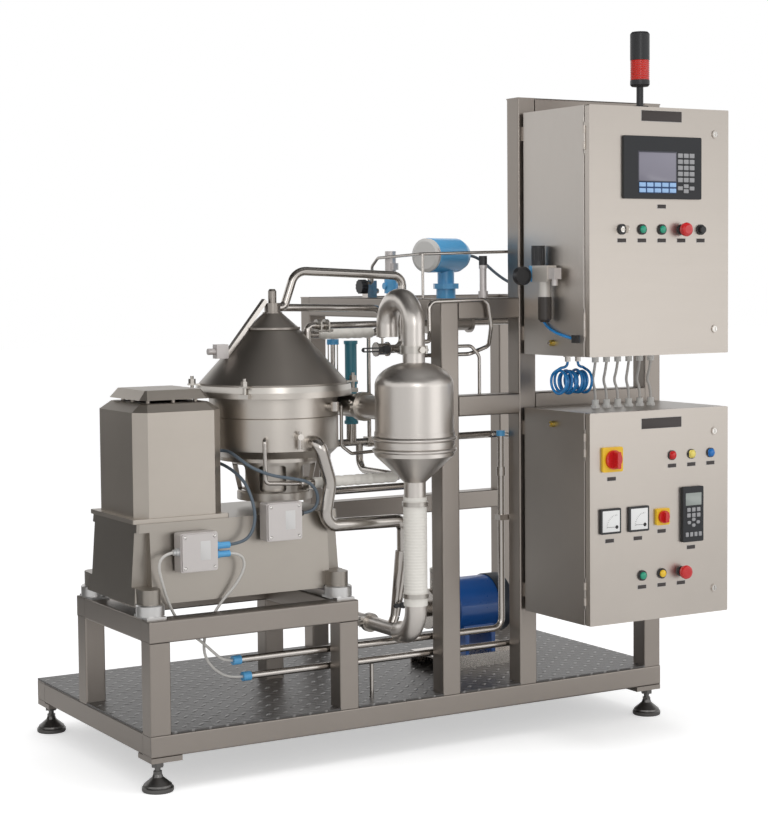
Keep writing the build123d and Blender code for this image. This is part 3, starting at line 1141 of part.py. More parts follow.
def sampling_arch():
    """The pipe from the separator's head over to the sampling valve, and the valve with its stem."""
    head = upright(BOWL_X, MACHINE_Y, (HOOD_NECK_Z, HEAD_TOP + 1), HEAD_R)
    x, y = ARCH_END
    arch = hollow_pipe(arch_route(), PIPE_D, ARCH_BENDS, PIPE_WALL)
    arch[0] -= head
    add("process_pipes", arch)
    right = x - 50
    left = right - VALVE_L
    body = rod((left, y, VALVE_Z), (right, y, VALVE_Z), VALVE_R)
    for start in (left - 5, right - 5):
        body += rod((start, y, VALVE_Z), (start + 5, y, VALVE_Z), VALVE_R + 4)
    stem_x = valve_hub_x()
    body += upright(stem_x, y, (VALVE_Z, VALVE_Z + VALVE_R + 20), 3.5)
    body += rod((stem_x - 9, y, VALVE_Z + VALVE_R + 20), (stem_x + 9, y, VALVE_Z + VALVE_R + 20), 4)
    add("process_pipes", body)
    front = y - VALVE_R
    hub = rod((stem_x, front - SEAT_GAP, VALVE_Z), (stem_x, front - 13, VALVE_Z), 12)
    lever = block((stem_x - LEVER_L, stem_x), (front - 11, front - 5), (VALVE_Z - 7, VALVE_Z + 7))
    lever += rod((stem_x - LEVER_L, front - 11, VALVE_Z), (stem_x - LEVER_L, front - 5, VALVE_Z), 7)
    lever -= block((stem_x - LEVER_L, stem_x - 22), (front - 12, front - 4), (VALVE_Z - 3, VALVE_Z + 3))
    add("butterfly_handle", hub + lever)


def arch_route():
    """The corners of the arch, from inside the head to the sampling valve."""
    x, y = ARCH_END
    return [(BOWL_X + HEAD_R - 8, MACHINE_Y, HEAD_OUT_Z), (BOWL_X + HEAD_R + 14, MACHINE_Y, HEAD_OUT_Z),
            (BOWL_X + HEAD_R + 52, MACHINE_Y, ARCH_TOP), (x, y, ARCH_TOP - 18), (x, y, VALVE_Z),
            (x - 50, y, VALVE_Z)]


def valve_hub_x():
    """Where the sampling valve's stem and handle turn."""
    return ARCH_END[0] - 50 - VALVE_L / 2


def meter_line():
    """The line from the hood through the flow meter, down behind the cabinets and back along the stand."""
    x, y = METER_START
    cone = hood_cone()
    top = METER_ROW_Z
    riser = hollow_pipe([(x, y, top - 70), (x, y, top), (FLOW_X[0], y, top)], TUBE_D, 16, PIPE_WALL)
    add("process_pipes", side_tee(riser, cone))
    for clamp_x in (x + 34, x + 60):
        add("hose_and_pipe_clamps", pipe_clamp((clamp_x, y, top), (1, 0, 0), TUBE_D))
    down = METER_COLUMN_X
    back = LOWER_ROW_Y
    low = LOWER_ROW_PIPE_Z
    run = [(FLOW_X[1], y, top), (down, y, top), (down, y, low), (down, back, low), (BYPASS_X[0], back, low),
           (BYPASS_X[0], back, BYPASS_Z), (BYPASS_X[1], back, BYPASS_Z), (BYPASS_X[1], back, low)]
    line = hollow_pipe(run, LINE_D, LINE_BENDS, PIPE_WALL)
    main = lower_line()
    line[-1] -= main
    block_x = BLOCK_X
    valve_block = block((block_x - 13, block_x + 13), (back - 15, back + 15), (low - 15, low + 15))
    add("process_pipes", [piece - valve_block for piece in line])
    add("process_pipes", valve_block - block((block_x - 14, block_x + 14), (back - 4, back + 4), (low - 4, low + 4)))
    tube = pipe([(INDICATOR_X[0], back, GLASS_TOP), (INDICATOR_X[0], back, GLASS_TOP + 16),
                 (block_x, back, GLASS_TOP + 16), (block_x, back, low + 15)], SMALL_TUBE_D, 12)
    add("process_pipes", tube)
    riser = ring((PUMP_X - 36, back, PUMP_SHAFT_Z + 110), (PUMP_X - 36, back, low), PIPE_D / 2, PIPE_D / 2 - PIPE_WALL)
    add("process_pipes", riser - main)
    add("hose_and_pipe_clamps", ring((PUMP_X - 36, back, PUMP_SHAFT_Z + 112), (PUMP_X - 36, back, PUMP_SHAFT_Z + 124),
                                     PIPE_D / 2 + CLAMP_RISE, PIPE_D / 2))


def lower_line():
    """The straight lower run of the meter line, for what meets it from the side."""
    return rod((BYPASS_X[0] + LINE_BENDS[3], LOWER_ROW_Y, LOWER_ROW_PIPE_Z),
               (METER_COLUMN_X - LINE_BENDS[2], LOWER_ROW_Y, LOWER_ROW_PIPE_Z), LINE_D / 2)


def return_line():
    """The second pipe from the head, which comes back under itself to the hood."""
    turn = math.radians(RETURN_TURN)
    head = upright(BOWL_X, MACHINE_Y, (HOOD_NECK_Z, HEAD_TOP + 1), HEAD_R)
    row = MACHINE_Y + 52 * math.sin(turn)
    start = (BOWL_X + (HEAD_R - 6) * math.cos(turn), MACHINE_Y + (HEAD_R - 6) * math.sin(turn), HEAD_OUT_Z - 1)
    line = hollow_pipe([start, (BOWL_X + 52 * math.cos(turn), row, HEAD_OUT_Z - 1), (RETURN_X, row, RETURN_Z[0]),
                        (RETURN_X, row, RETURN_Z[1]), (BOWL_X + 60, row, RETURN_Z[1] - 2)],
                       LINE_D, [14, 30, 30], PIPE_WALL)
    line[0] -= head
    for piece in pipe(arch_route(), PIPE_D, ARCH_BENDS)[:2]:
        line[0] -= piece
        line[1] -= piece
    line[-1] -= hood_cone()
    add("process_pipes", line)


def feed_line():
    """The thin leg from the casing to the feed pipe, and the feed pipe back to the lower line."""
    casing_body = upright(BOWL_X, MACHINE_Y, (CASING_Z, SEAM_Z), CASING_R)
    thin = pipe([(408, 112, 917), (389, 83, 917), (391, 84, 797), (FEED_X, FEED_Y - 1, FEED_Z)], SMALL_TUBE_D, [10, 14])
    thin[0] -= casing_body
    add("process_pipes", thin)
    feed = hollow_pipe([(FEED_X, FEED_Y, FEED_Z), (FEED_TURN_X, FEED_Y, FEED_Z),
                        (FEED_TURN_X, LOWER_ROW_Y, FEED_Z), (FEED_TURN_X, LOWER_ROW_Y, LOWER_ROW_PIPE_Z)],
                       LINE_D, 36, PIPE_WALL)
    feed[-1] -= lower_line()
    add("process_pipes", feed)
    add("hose_and_pipe_clamps", pipe_clamp((FEED_X + 14, FEED_Y, FEED_Z), (1, 0, 0), LINE_D))
    plug = rod((FEED_X - 5, FEED_Y, FEED_Z), (FEED_X, FEED_Y, FEED_Z), LINE_D / 2 + 4)
    add("process_pipes", plug - thin[-1])
    sample_x = BOWL_X - 22
    front = MACHINE_Y - math.sqrt(CASING_R ** 2 - 22 ** 2)
    sample = rod((sample_x, front + 6, SAMPLE_Z), (sample_x, front - 22, SAMPLE_Z), 9)
    sample += upright(sample_x, front - 14, (SAMPLE_Z - 34, SAMPLE_Z), 7)
    sample += upright(sample_x, front - 14, (SAMPLE_Z, SAMPLE_Z + 16), 5)
    add("process_pipes", sample - casing_body)


def waste_line():
    """The large bent pipe from the casing's front to the funnel over the drain pipe."""
    casing_body = upright(BOWL_X, MACHINE_Y, (CASING_Z, SEAM_Z), CASING_R)
    x, y, z = FUNNEL_TOP
    waste = hollow_pipe([(531, 84, 905), (534, 35, 905), (582, 60, 790), (563, 66, 668), (x, y, 660), (x, y, z)],
                        LARGE_PIPE_D, [24, 60, 40, 30], 2)
    waste[0] -= casing_body
    add("process_pipes", waste)
    top = Vector(*FUNNEL_TOP)
    low = Vector(*FUNNEL_END)
    plane = Plane(origin=low, z_dir=top - low)
    length = (top - low).length
    upper_r = LARGE_PIPE_D / 2 + 5
    funnel = plane * Cone(14, upper_r, length, align=(Align.CENTER, Align.CENTER, Align.MIN))
    funnel -= plane * Cone(12, upper_r - 2, length, align=(Align.CENTER, Align.CENTER, Align.MIN))
    funnel -= block((x - 40, x + 40), (y - 40, y + 40), (z, z + 20))
    add("process_pipes", funnel)
    drain = rod((CYCLONE_X, 0, DRAIN_Z), (CYCLONE_X, DRAIN_END_Y, DRAIN_Z), DRAIN_SMALL_D / 2)
    tail = rod(tuple(low), (CYCLONE_X, low.Y, DRAIN_Z), 14)
    tail -= rod(tuple(low), (CYCLONE_X, low.Y, DRAIN_Z), 12)
    tail -= plane * block((-20, 20), (-20, 20), (0, 30))
    add("process_pipes", tail - drain)
    axis_z = FUNNEL_END[2] + 34
    stem_x = FUNNEL_END[0] + 5.5
    stem = rod((stem_x, low.Y, axis_z), (stem_x, low.Y - 27, axis_z), 7)
    filled = plane * Cone(14, upper_r, length, align=(Align.CENTER, Align.CENTER, Align.MIN))
    add("process_pipes", stem - filled)
    face = low.Y - 27 - SEAT_GAP
    wing = rod((stem_x, face, axis_z), (stem_x, face - 12, axis_z), 9)
    for way in (-1, 1):
        tip = stem_x + way * 22
        low_x, high_x = sorted((stem_x, tip))
        wing += block((low_x, high_x), (face - 10, face - 3), (axis_z - 5, axis_z + 5))
        wing += rod((tip, face - 10, axis_z), (tip, face - 3, axis_z), 7)
    add("drain_handle", wing)


def bleed_tubes():
    """The thin tubes: casing to the valve block, the loop over the frame, and the bracket tube under it."""
    angle = math.radians(BLEED_ANGLE)
    reach = CASING_R + 20
    x = BOWL_X + reach * math.cos(angle)
    y = MACHINE_Y + reach * math.sin(angle)
    casing_body = upright(BOWL_X, MACHINE_Y, (SEAM_Z - 20, FLANGE_Z[0]), CASING_R)
    fitting = upright(x, y, (BLEED_Z - 14, BLEED_Z + 12), 12)
    boss = rod((BOWL_X + 170 * math.cos(angle), MACHINE_Y + 170 * math.sin(angle), BLEED_Z), (x, y, BLEED_Z), 9)
    add("process_pipes", fitting + (boss - casing_body))
    thin = pipe([(x, y, BLEED_Z), (676, 160, BLEED_Z), (676, 160, 880), (704, 152, 857), (866, 200, 857),
                 (BLOCK_X, LOWER_ROW_Y - 15, LOWER_ROW_PIPE_Z - 8)], THIN_TUBE_D, [10, 14, 14, 14])
    valve_block = block((BLOCK_X - 13, BLOCK_X + 13), (LOWER_ROW_Y - 15, LOWER_ROW_Y + 15),
                        (LOWER_ROW_PIPE_Z - 15, LOWER_ROW_PIPE_Z + 15))
    add("process_pipes", side_tee(side_tee(thin, fitting + boss), valve_block))
    vent = upright(CYCLONE_X, CYCLONE_Y, (VENT_CLAMP_Z, VENT_CLAMP_Z + 40), VENT_D / 2)
    arch_x, arch_y = ARCH_END
    front = -14
    end_x = arch_x - 40
    loop = pipe([(CYCLONE_X + VENT_D / 2 - 4, CYCLONE_Y, LOOP_Z[0]), (850, -40, LOOP_Z[0]), (866, front - 2, 1205),
                 (866, front, LOOP_Z[1]), (1066, front, LOOP_Z[1] + 4), (1078, front, 1218), (1098, 30, 1160),
                 (1060, 75, LOOP_Z[2]), (end_x, 75, LOOP_Z[2]), (end_x, arch_y, VALVE_Z)],
                SMALL_TUBE_D, [14, 16, 24, 24, 24, 20, 20, 20])
    stub = rod((arch_x - 60, arch_y, VALVE_Z), (arch_x, arch_y, VALVE_Z), PIPE_D / 2)
    add("process_pipes", side_tee(side_tee(loop, vent), stub))
    post_right = POST_A_X + BOX
    hoop = pipe([(post_right, 45, 1161), (1047, 45, 1161), (1075, 45, 1131), (1075, 45, MID_RAIL_TOP)],
                THIN_TUBE_D, [22, 22])
    add("process_pipes", hoop)


def rail_top_fittings():
    """The throttle and the blue valve on the frame's left rail, their tube and its post."""
    x = POST_A_X + BOX / 2
    y = THROTTLE_Y
    top = FRAME_TOP
    body = block((x - 15, x + 17), (y - 17, y + 17), (top, top + 52))
    body += upright(x + 4, y, (top + 50, top + 64), 9)
    body += rod((x + 14, y, top + 20), (x + 30, y, top + 20), 8)
    add("process_pipes", body)
    knob = rod((x - 15 - SEAT_GAP, y, top + 34), (x - 36, y, top + 34), 22)
    for index in range(KNOB_RIBS):
        turn = Pos(0, y, top + 34) * Rot(index * 360 / KNOB_RIBS, 0, 0)
        knob -= turn * rod((x - 40, 0, 24.5), (x - 20, 0, 24.5), 4.5)
    add("throttle_knob", knob)
    y = SOLENOID_Y
    valve = upright(x, y, (top, top + 14), 13) + upright(x, y, (top + 14, top + 58), 19)
    valve += rod((x - 24, y, top + 36), (x + 24, y, top + 36), 10)
    valve += upright(x, y, (top + 58, top + 78), 9)
    add("instruments", valve)
    coil = upright(x, y, (top + 78, top + 140), 16.5)
    plug = block((x - 9, x + 9), (y - 31, y - 8), (top + 84, top + 104))
    add("junction_boxes", coil, plug - coil)
    edge = POST_A_X + 2
    tube = pipe([(x - 6, THROTTLE_Y - 17, top + 44), (x - 16, THROTTLE_Y - 46, top + 50), (edge, 392, top + 95),
                 (edge, 357, top + 120), (edge, POST_ROD_Y, RAIL_TUBE_Z), (POST_B_X - 6, 72, RAIL_TUBE_Z + 5),
                 (POST_B_X + 40, 72, RAIL_TUBE_Z + 6)], THIN_TUBE_D - 1, [12, 20, 20, 14, 30])
    add("process_pipes", side_tee(tube, body))
    support = upright(edge + 3, POST_ROD_Y + 2, (top, RAIL_TUBE_Z), 4)
    add("process_pipes", support - tube[-3] - tube[-4] - tube[-5])
    clip_x = POST_B_X + BOX / 2
    clip = block((clip_x - 9, clip_x + 9), (BOX, 80), (RAIL_TUBE_Z - 4, RAIL_TUBE_Z + 16))
    add("process_pipes", clip - tube[-1])


def conduits():
    """The two conduits low behind the legs, the vertical one at the middle post, and their fixings."""
    radius = CONDUIT_D / 2
    y = CONDUIT_Y
    upper, lower = CONDUIT_Z
    riser = [(CONDUIT_LEFT[0], y, upper), (RISER_X, y, upper), (RISER_X, y, RISER_TOP)]
    add("process_pipes", hollow_pipe(riser, CONDUIT_D, 30, PIPE_WALL))
    run = ring((CONDUIT_LEFT[1], y, lower), (RUN_RIGHT_X, y, lower), radius, radius - PIPE_WALL)
    add("process_pipes", run)
    for x in (CONDUIT_CLIP_X, FRAME_CLIP_X):
        clip = block((x - 8, x + 8), (BOX, y + radius + 3), (lower - radius - 4, upper + radius + 4))
        for z in (upper, lower):
            clip -= rod((x - 9, y, z), (x + 9, y, z), radius)
        add("process_pipes", clip)
    foot = upright(CONDUIT_POST_X, y, (DECK_TOP, lower - radius), 6)
    add("process_pipes", foot)
    clip = block((RISER_X - 14, POST_B_X + 6), (BOX, y + radius + 3), (RISER_CLIP_Z, RISER_CLIP_Z + 16))
    clip -= upright(RISER_X, y, (RISER_CLIP_Z - 1, RISER_CLIP_Z + 17), radius)
    add("process_pipes", clip)
    union = ring((RISER_X, y, UNION_Z), (RISER_X, y, UNION_Z + 26), radius + 4, radius)
    add("process_pipes", union)
    for x, z in zip(CONDUIT_LEFT, CONDUIT_Z):
        end = ring((x - 14, y, z), (x, y, z), radius + 3, CABLE_HOLE_R)
        end += ring((x, y, z), (x + 10, y, z), radius + 3, radius)
        add("instruments", end)
    add("instruments", ring((RISER_X, y, RISER_TOP), (RISER_X, y, RISER_TOP + 16), radius + 3, CABLE_HOLE_R))
    add("instruments", ring((RUN_RIGHT_X, y, lower), (RUN_RIGHT_X + 14, y, lower), radius + 3, CABLE_HOLE_R))


def flow_meter():
    """The flow tube with its flanges, and the transmitter that stands on it."""
    y = METER_START[1]
    z = METER_ROW_Z - 3.5
    left, right = FLOW_X
    body = rod((left, y, z), (right, y, z), FLOW_D / 2)
    for start in (left, right - 9):
        body += rod((start, y, z), (start + 9, y, z), FLOW_D / 2 + 7)
    x = TRANSMITTER_X
    body += upright(x, y, (z, FRAME_TOP - 4), 18)
    collar = upright(x, y, (FRAME_TOP - 4, FRAME_TOP + 26), 29)
    octagon = extrude(Plane(origin=(x, y, FRAME_TOP + 26)) * RegularPolygon(36, 8, major_radius=False), 16)
    collar += octagon + upright(x, y, (FRAME_TOP + 42, TRANSMITTER_Z - TRANSMITTER_R + 8), 25)
    add("instruments", body, collar)
    r = TRANSMITTER_R
    half = TRANSMITTER_L / 2
    outline = [(0, -half), (r - 4, -half), (r, -half + 4), (r, half - 46), (r - 8, half - 24), (24, half - 2),
               (16, half - 2), (16, half + 16), (0, half + 16)]
    case = turned(0, 0, outline)
    case = Pos(x, y, TRANSMITTER_Z) * Rot(0, 0, TRANSMITTER_TURN) * Rot(0, 90, 0) * case
    lid = turned(0, 0, [(0, -half - 14), (r - 10, -half - 14), (r - 1, -half - 9), (r - 1, -half), (0, -half)])
    lid = Pos(x, y, TRANSMITTER_Z) * Rot(0, 0, TRANSMITTER_TURN) * Rot(0, 90, 0) * lid
    add("instruments", case - upright(x, y, (FRAME_TOP, TRANSMITTER_Z - TRANSMITTER_R + 8), 25))
    add("junction_boxes", lid)


def level_instruments():
    """The glass tube with its rods, and the teal indicator beside it, both on the lower line."""
    base = LOWER_ROW_PIPE_Z
    y = LOWER_ROW_Y
    main = lower_line()
    x = INDICATOR_X[0]
    foot = upright(x, y, (base, GLASS_LOW), 13) + upright(x, y, (GLASS_LOW - 14, GLASS_LOW), 18)
    add("process_pipes", foot - main)
    add("instruments", upright(x, y, (GLASS_TOP - 16, GLASS_TOP), 18))
    add("process_pipes", upright(x, y, (GLASS_LOW, GLASS_TOP - 16), 7))
    for angle in range(0, 360, 90):
        turn = Pos(x, y, 0) * Rot(0, 0, angle + 45)
        add("process_pipes", turn * upright(14, 0, (GLASS_LOW, GLASS_TOP - 16), 2))
    x = INDICATOR_X[1]
    add("process_pipes", upright(x, y, (base, INDICATOR_Z[0]), 15) - main)
    case = upright(x, y, INDICATOR_Z, 18)
    for z in (INDICATOR_Z[0], INDICATOR_Z[0] + 120, INDICATOR_Z[1] - 10):
        case += upright(x, y, (z, z + 10), 21)
    case += block((x - 22, x - 14), (y - 6, y + 6), (INDICATOR_Z[0] + 60, INDICATOR_Z[0] + 90))
    add("instruments", case)


def air_unit():
    """The air preparation unit on the upper cabinet's left side: body, bowl, gauge and knob."""
    x = AIR_X
    z = AIR_Z
    knob_y, bowl_y = AIR_Y
    body = block((x - 17, x + 17), (bowl_y - 34, knob_y + 22), (z - 23, z + 23))
    body += upright(x, bowl_y, (z - 66, z - 22), 17)
    body += block((x + 16, CAB_X), (bowl_y - 30, bowl_y), (z - 14, z + 14))
    add("instruments", body)
    bowl = turned(x, bowl_y, [(0, AIR_BOWL_Z), (12, AIR_BOWL_Z), (19.5, AIR_BOWL_Z + 8), (19.5, z - 66), (0, z - 66)])
    add("junction_boxes", bowl)
    knob = upright(x, knob_y, (z + 23 + SEAT_GAP, z + 80), 19.5)
    for index in range(KNOB_RIBS):
        turn = Pos(x, knob_y, 0) * Rot(0, 0, index * 360 / KNOB_RIBS)
        knob -= turn * upright(21.5, 0, (z + 36, z + 72), 3.5)
    add("regulator_knob", knob)
    gauge = rod((x - 46, knob_y + 4, z - 6), (x - 46, knob_y + 24, z - 6), 26)
    gauge -= rod((x - 46, knob_y + 3, z - 6), (x - 46, knob_y + 7, z - 6), 22)
    stem = rod((x - 46, knob_y + 15, z - 6), (x - 16, knob_y + 15, z - 6), 5)
    stem -= block((x - 17, x + 17), (bowl_y - 34, knob_y + 22), (z - 23, z + 23))
    add("junction_boxes", gauge, stem - gauge)
    shut = block((x - 12, x + 12), (bowl_y - 34 - 30, bowl_y - 34), (z - 16, z + 16))
    shut += rod((x, bowl_y - 49, z - 16), (x, bowl_y - 49, z - 34), 9)
    add("junction_boxes", shut)


def small_boxes():
    """The two junction boxes at the table, the speed sensor's block and its bar, and the rail's sender."""
    back = JUNCTION_BACK_Y
    front = back - JUNCTION_DEPTH
    for x, z, lugs in JUNCTION_BOXES:
        case = block((x, x + JUNCTION_W), (front, back), (z, z + JUNCTION_H))
        case = fillet(case.edges().filter_by(Axis.Y), 6)
        lid = block((x + 3, x + JUNCTION_W - 3), (front - 7, front), (z + 3, z + JUNCTION_H - 3))
        lid = fillet(lid.edges().filter_by(Axis.Y), 5)
        for screw_x in (x + 12, x + JUNCTION_W - 12):
            for screw_z in (z + 12, z + JUNCTION_H - 12):
                lid -= rod((screw_x, front - 8, screw_z), (screw_x, front - 4, screw_z), 4)
        add("junction_boxes", case, lid)
    x, y, z = SENSOR_AT
    sensor = block((x - 18, x + 18), (y - 14, y + 14), (z - 20, z + 20))
    sensor += rod((x - 18, y, z), (x - 40, y, z), 9)
    bar_low = (x + 10, y - 3, z - 18)
    bar_high = (BOWL_X - HEAD_R - 1, y - 3, HEAD_TOP + 8)
    hood_shell, hood_head = nodes["separator_hood"]
    plane = Plane(origin=bar_low, x_dir=(0, 1, 0), z_dir=Vector(*bar_high) - Vector(*bar_low))
    length = (Vector(*bar_high) - Vector(*bar_low)).length
    bar = plane * Box(20, 12, length, align=(Align.CENTER, Align.CENTER, Align.MIN))
    sensor = sensor - hood_cone()
    add("junction_boxes", sensor)
    add("process_pipes", bar - sensor - hood_cone() - hood_shell - hood_head)
    x, y = SENDER_AT
    sender = upright(x, y, (FRAME_TOP, FRAME_TOP + 20), 14) + upright(x, y, (FRAME_TOP + 20, FRAME_TOP + 85), 10)
    sender += upright(x, y, (FRAME_TOP + 85, FRAME_TOP + 122), 12)
    add("junction_boxes", sender)


def cabinet_glands():
    """The bulkhead fittings and cable glands between the cabinets, and the earth studs."""
    y = GLAND_Y
    roof = LOWER_CAB_Z + LOWER_CAB_H
    floor = UPPER_CAB_Z
    for index in range(GLAND_COUNT):
        x = GLAND_FIRST_X + index * GLAND_PITCH
        gland = hexagon(x, y, (roof, roof + 8), 24) + upright(x, y, (roof + 8, roof + 24), 10)
        add("junction_boxes", gland - upright(x, y, (roof - 1, roof + 25), CABLE_HOLE_R))
        gland = hexagon(x, y, (floor - 8, floor), 24) + upright(x, y, (floor - 24, floor - 8), 10)
        add("junction_boxes", gland - upright(x, y, (floor - 25, floor + 1), CABLE_HOLE_R))
    for index in range(BULKHEAD_COUNT):
        x = BULKHEAD_FIRST_X + index * BULKHEAD_PITCH
        add("process_pipes", upright(x, y + 20, (floor - 6, floor), 13) + upright(x, y + 20, (floor - 20, floor - 6), 8))
    for z in EARTH_Z:
        stud = rod((CAB_X, EARTH_Y, z), (CAB_X - 10, EARTH_Y, z), 9)
        stud += rod((CAB_X - 10, EARTH_Y, z), (CAB_X - 18, EARTH_Y, z), 4)
        add("process_pipes", stud)


def cord_runs(name, route, diameter):
    """A cord's tube along its route: straight runs joined by arcs as large as the two runs allow."""
    path = [Vector(*point) for point in route]
    bends = []
    for before, corner, after in zip(path, path[1:], path[2:]):
        turn = math.radians((corner - before).get_angle(after - corner))
        shorter = min((corner - before).length, (after - corner).length)
        bends.append(CORD_SHARE * shorter / math.tan(turn / 2))
    print(name, "radii", [round(bend) for bend in bends])
    return pipe(route, diameter, bends)


def fused(solids):
    """The pieces of one cord as one solid."""
    whole = solids[0]
    for piece in solids[1:]:
        whole += piece
    return whole


def jumper(index):
    """The route of one cable between the two cabinets' glands, bowed a little its own way."""
    x = GLAND_FIRST_X + index * GLAND_PITCH
    bow = 5 + 2 * (index % 3)
    low = LOWER_CAB_Z + LOWER_CAB_H + 24
    high = UPPER_CAB_Z - 24
    step = (high - low) / 4
    return [(x, GLAND_Y, low), (x + 2, GLAND_Y + 3, low + step), (x + 2 - bow, GLAND_Y + 10, low + 2 * step),
            (x - 2, GLAND_Y + 3, low + 3 * step), (x, GLAND_Y, high)]


def coil_stub_x():
    """Where the coiled hose goes up into its two bulkhead fittings."""
    return [BULKHEAD_FIRST_X + index * BULKHEAD_PITCH for index in range(BULKHEAD_COUNT)]


def trimmed(cord):
    """A cord cut square to the fittings that it enters."""
    box = cord.bounding_box()
    for solid in nodes["instruments"] + nodes["junction_boxes"]:
        other = solid.bounding_box()
        gaps = [max(getattr(other.min, side) - getattr(box.max, side), getattr(box.min, side) - getattr(other.max, side))
                for side in ("X", "Y", "Z")]
        if max(gaps) < 0:
            cord -= solid
    return cord


def cords():
    """The cables and hoses that hang free between their fittings, and the coil between the cabinets."""
    for name, route in DARK_ROUTES.items():
        add("dark_cables", trimmed(fused(cord_runs(name, route, DARK_CABLE_D))))
    for name, route in LIGHT_ROUTES.items():
        add("light_cables", trimmed(fused(cord_runs(name, route, LIGHT_CABLE_D))))
    for index in range(GLAND_COUNT):
        add("light_cables", fused(cord_runs(f"jumper_{index}", jumper(index), LIGHT_CABLE_D)))
    add("air_hoses", trimmed(fused(cord_runs("air_feed", AIR_ROUTE, AIR_HOSE_D))))
    y = GLAND_Y + 20
    start = (COIL_X[0], y, COIL_Z)
    end = (COIL_X[1], y, COIL_Z)
    coil = ring(start, end, COIL_R, COIL_R - AIR_HOSE_D)
    for x in coil_stub_x():
        coil += upright(x, y, (COIL_Z + COIL_R - AIR_HOSE_D / 2, UPPER_CAB_Z - 20), AIR_HOSE_D / 2)
    add("air_hoses", coil)


def cord_ends():
    """The glands and fittings that the free cables and hose leave and enter."""
    for y, z in COVER_GLANDS:
        right = COVER_X[1]
        gland = rod((right, y, z), (right + 6, y, z), 11) + rod((right + 6, y, z), (right + 14, y, z), 8)
        add("instruments", gland)
    x, z, _ = JUNCTION_BOXES[0]
    right = x + JUNCTION_W
    for level in (616, 640):
        gland = rod((right, BOX_GLAND_Y, level), (right + 10, BOX_GLAND_Y, level), 11)
        gland += rod((right + 10, BOX_GLAND_Y, level), (right + 42, BOX_GLAND_Y, level), 9)
        add("instruments", gland)
    gland = rod((x, BOX_GLAND_Y, 631), (x - 8, BOX_GLAND_Y, 631), 11)
    add("instruments", gland + rod((x - 8, BOX_GLAND_Y, 631), (x - 16, BOX_GLAND_Y, 631), 8))
    x, z, _ = JUNCTION_BOXES[1]
    right = x + JUNCTION_W
    gland = rod((right, 67, 709), (right + 7, 67, 709), 11) + rod((right + 7, 67, 709), (right + 16, 67, 709), 8)
    add("instruments", gland)
    x, z = SENDER_GLAND
    gland = rod((x, CAB_BACK, z), (x, CAB_BACK + 9, z), 12) + rod((x, CAB_BACK + 9, z), (x, CAB_BACK + 18, z), 8)
    add("instruments", gland)
    add("instruments", block((CAB_X - 13, CAB_X), (-284, -262), (1174, 1196)))


def main():
    skid()
    levelling_feet()
    stand()
    panel_frame()
    upper_panel()
    lower_panel()
    beacon()
    machine_feet()
    machine_base()
    motor_cover()
    drive()
    pedestal()
    casing()
    bowl()
    hood()
    cyclone()
    vent_and_drain()
    pump()
    sampling_arch()
    meter_line()
    return_line()
    feed_line()
    waste_line()
    bleed_tubes()
    rail_top_fittings()
    conduits()
    flow_meter()
    level_instruments()
    air_unit()
    small_boxes()
    cabinet_glands()
    cord_ends()
    cords()
    os.makedirs("parts", exist_ok=True)
    low, high = whole_box()
    origin = Pos(-(low.X + high.X) / 2, -(low.Y + high.Y) / 2, -low.Z)
    for name, solids in nodes.items():
        export_step(Compound(children=[origin * solid for solid in solids]), f"parts/{name}.step")


def whole_box():
    """The lowest and highest corners of everything but the free cords."""
    boxes = [solid.bounding_box() for name, solids in nodes.items() if name not in CORD_NODES for solid in solids]
    low = Vector(*[min(getattr(box.min, axis) for box in boxes) for axis in "XYZ"])
    high = Vector(*[max(getattr(box.max, axis) for box in boxes) for axis in "XYZ"])
    return low, high


main()
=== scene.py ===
"""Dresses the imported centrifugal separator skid: finishes, cords, hoses, panel faces and the studio.

The CAD frame gives every rigid shape. This script gives each of its nodes a finish, stands smooth
pieces for the cords and the hose, and adds the small things on the panels. Lengths are metres in the
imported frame; at() turns a place measured from the skid's front left corner into that frame.
"""

import json
import logging
import math
from dataclasses import dataclass, field
from enum import Enum

import bmesh
import bpy
import numpy as np
from mathutils import Matrix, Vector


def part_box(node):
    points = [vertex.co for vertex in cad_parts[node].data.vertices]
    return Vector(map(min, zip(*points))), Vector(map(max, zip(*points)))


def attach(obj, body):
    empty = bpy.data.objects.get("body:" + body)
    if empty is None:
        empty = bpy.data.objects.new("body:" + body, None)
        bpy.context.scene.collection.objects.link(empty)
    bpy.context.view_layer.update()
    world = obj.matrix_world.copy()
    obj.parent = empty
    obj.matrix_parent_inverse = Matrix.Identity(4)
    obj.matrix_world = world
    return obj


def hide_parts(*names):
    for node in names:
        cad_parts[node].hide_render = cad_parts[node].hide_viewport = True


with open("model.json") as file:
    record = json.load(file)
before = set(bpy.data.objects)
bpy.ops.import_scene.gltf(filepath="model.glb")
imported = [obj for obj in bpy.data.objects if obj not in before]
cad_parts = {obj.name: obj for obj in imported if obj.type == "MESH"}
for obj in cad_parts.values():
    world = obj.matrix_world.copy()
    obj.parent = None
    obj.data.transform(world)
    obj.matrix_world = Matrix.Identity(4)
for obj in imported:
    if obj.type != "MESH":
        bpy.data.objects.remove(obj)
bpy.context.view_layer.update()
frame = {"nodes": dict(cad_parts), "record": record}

LOG = logging.getLogger("separator")
Point = tuple[float, float, float]
Colour = tuple[float, float, float]
Range = tuple[float, float]
SMOOTH_ANGLE = math.radians(38)

# Where the frame's origin lies from the skid's front left corner
SKID_CORNER = (0.855, 0.2475)

# The doors' front face, the cabinets' left side and each cabinet's floor, from that corner
DOOR_FACE = -0.330
CABINET_X = 1.195
UPPER_Z = 1.135
LOWER_Z = 0.378

# The row of controls and the row of pilot lamps, from the cabinets' left side
CONTROL_FIRST = 0.112
CONTROL_PITCH = 0.071
LAMP_X = 0.292


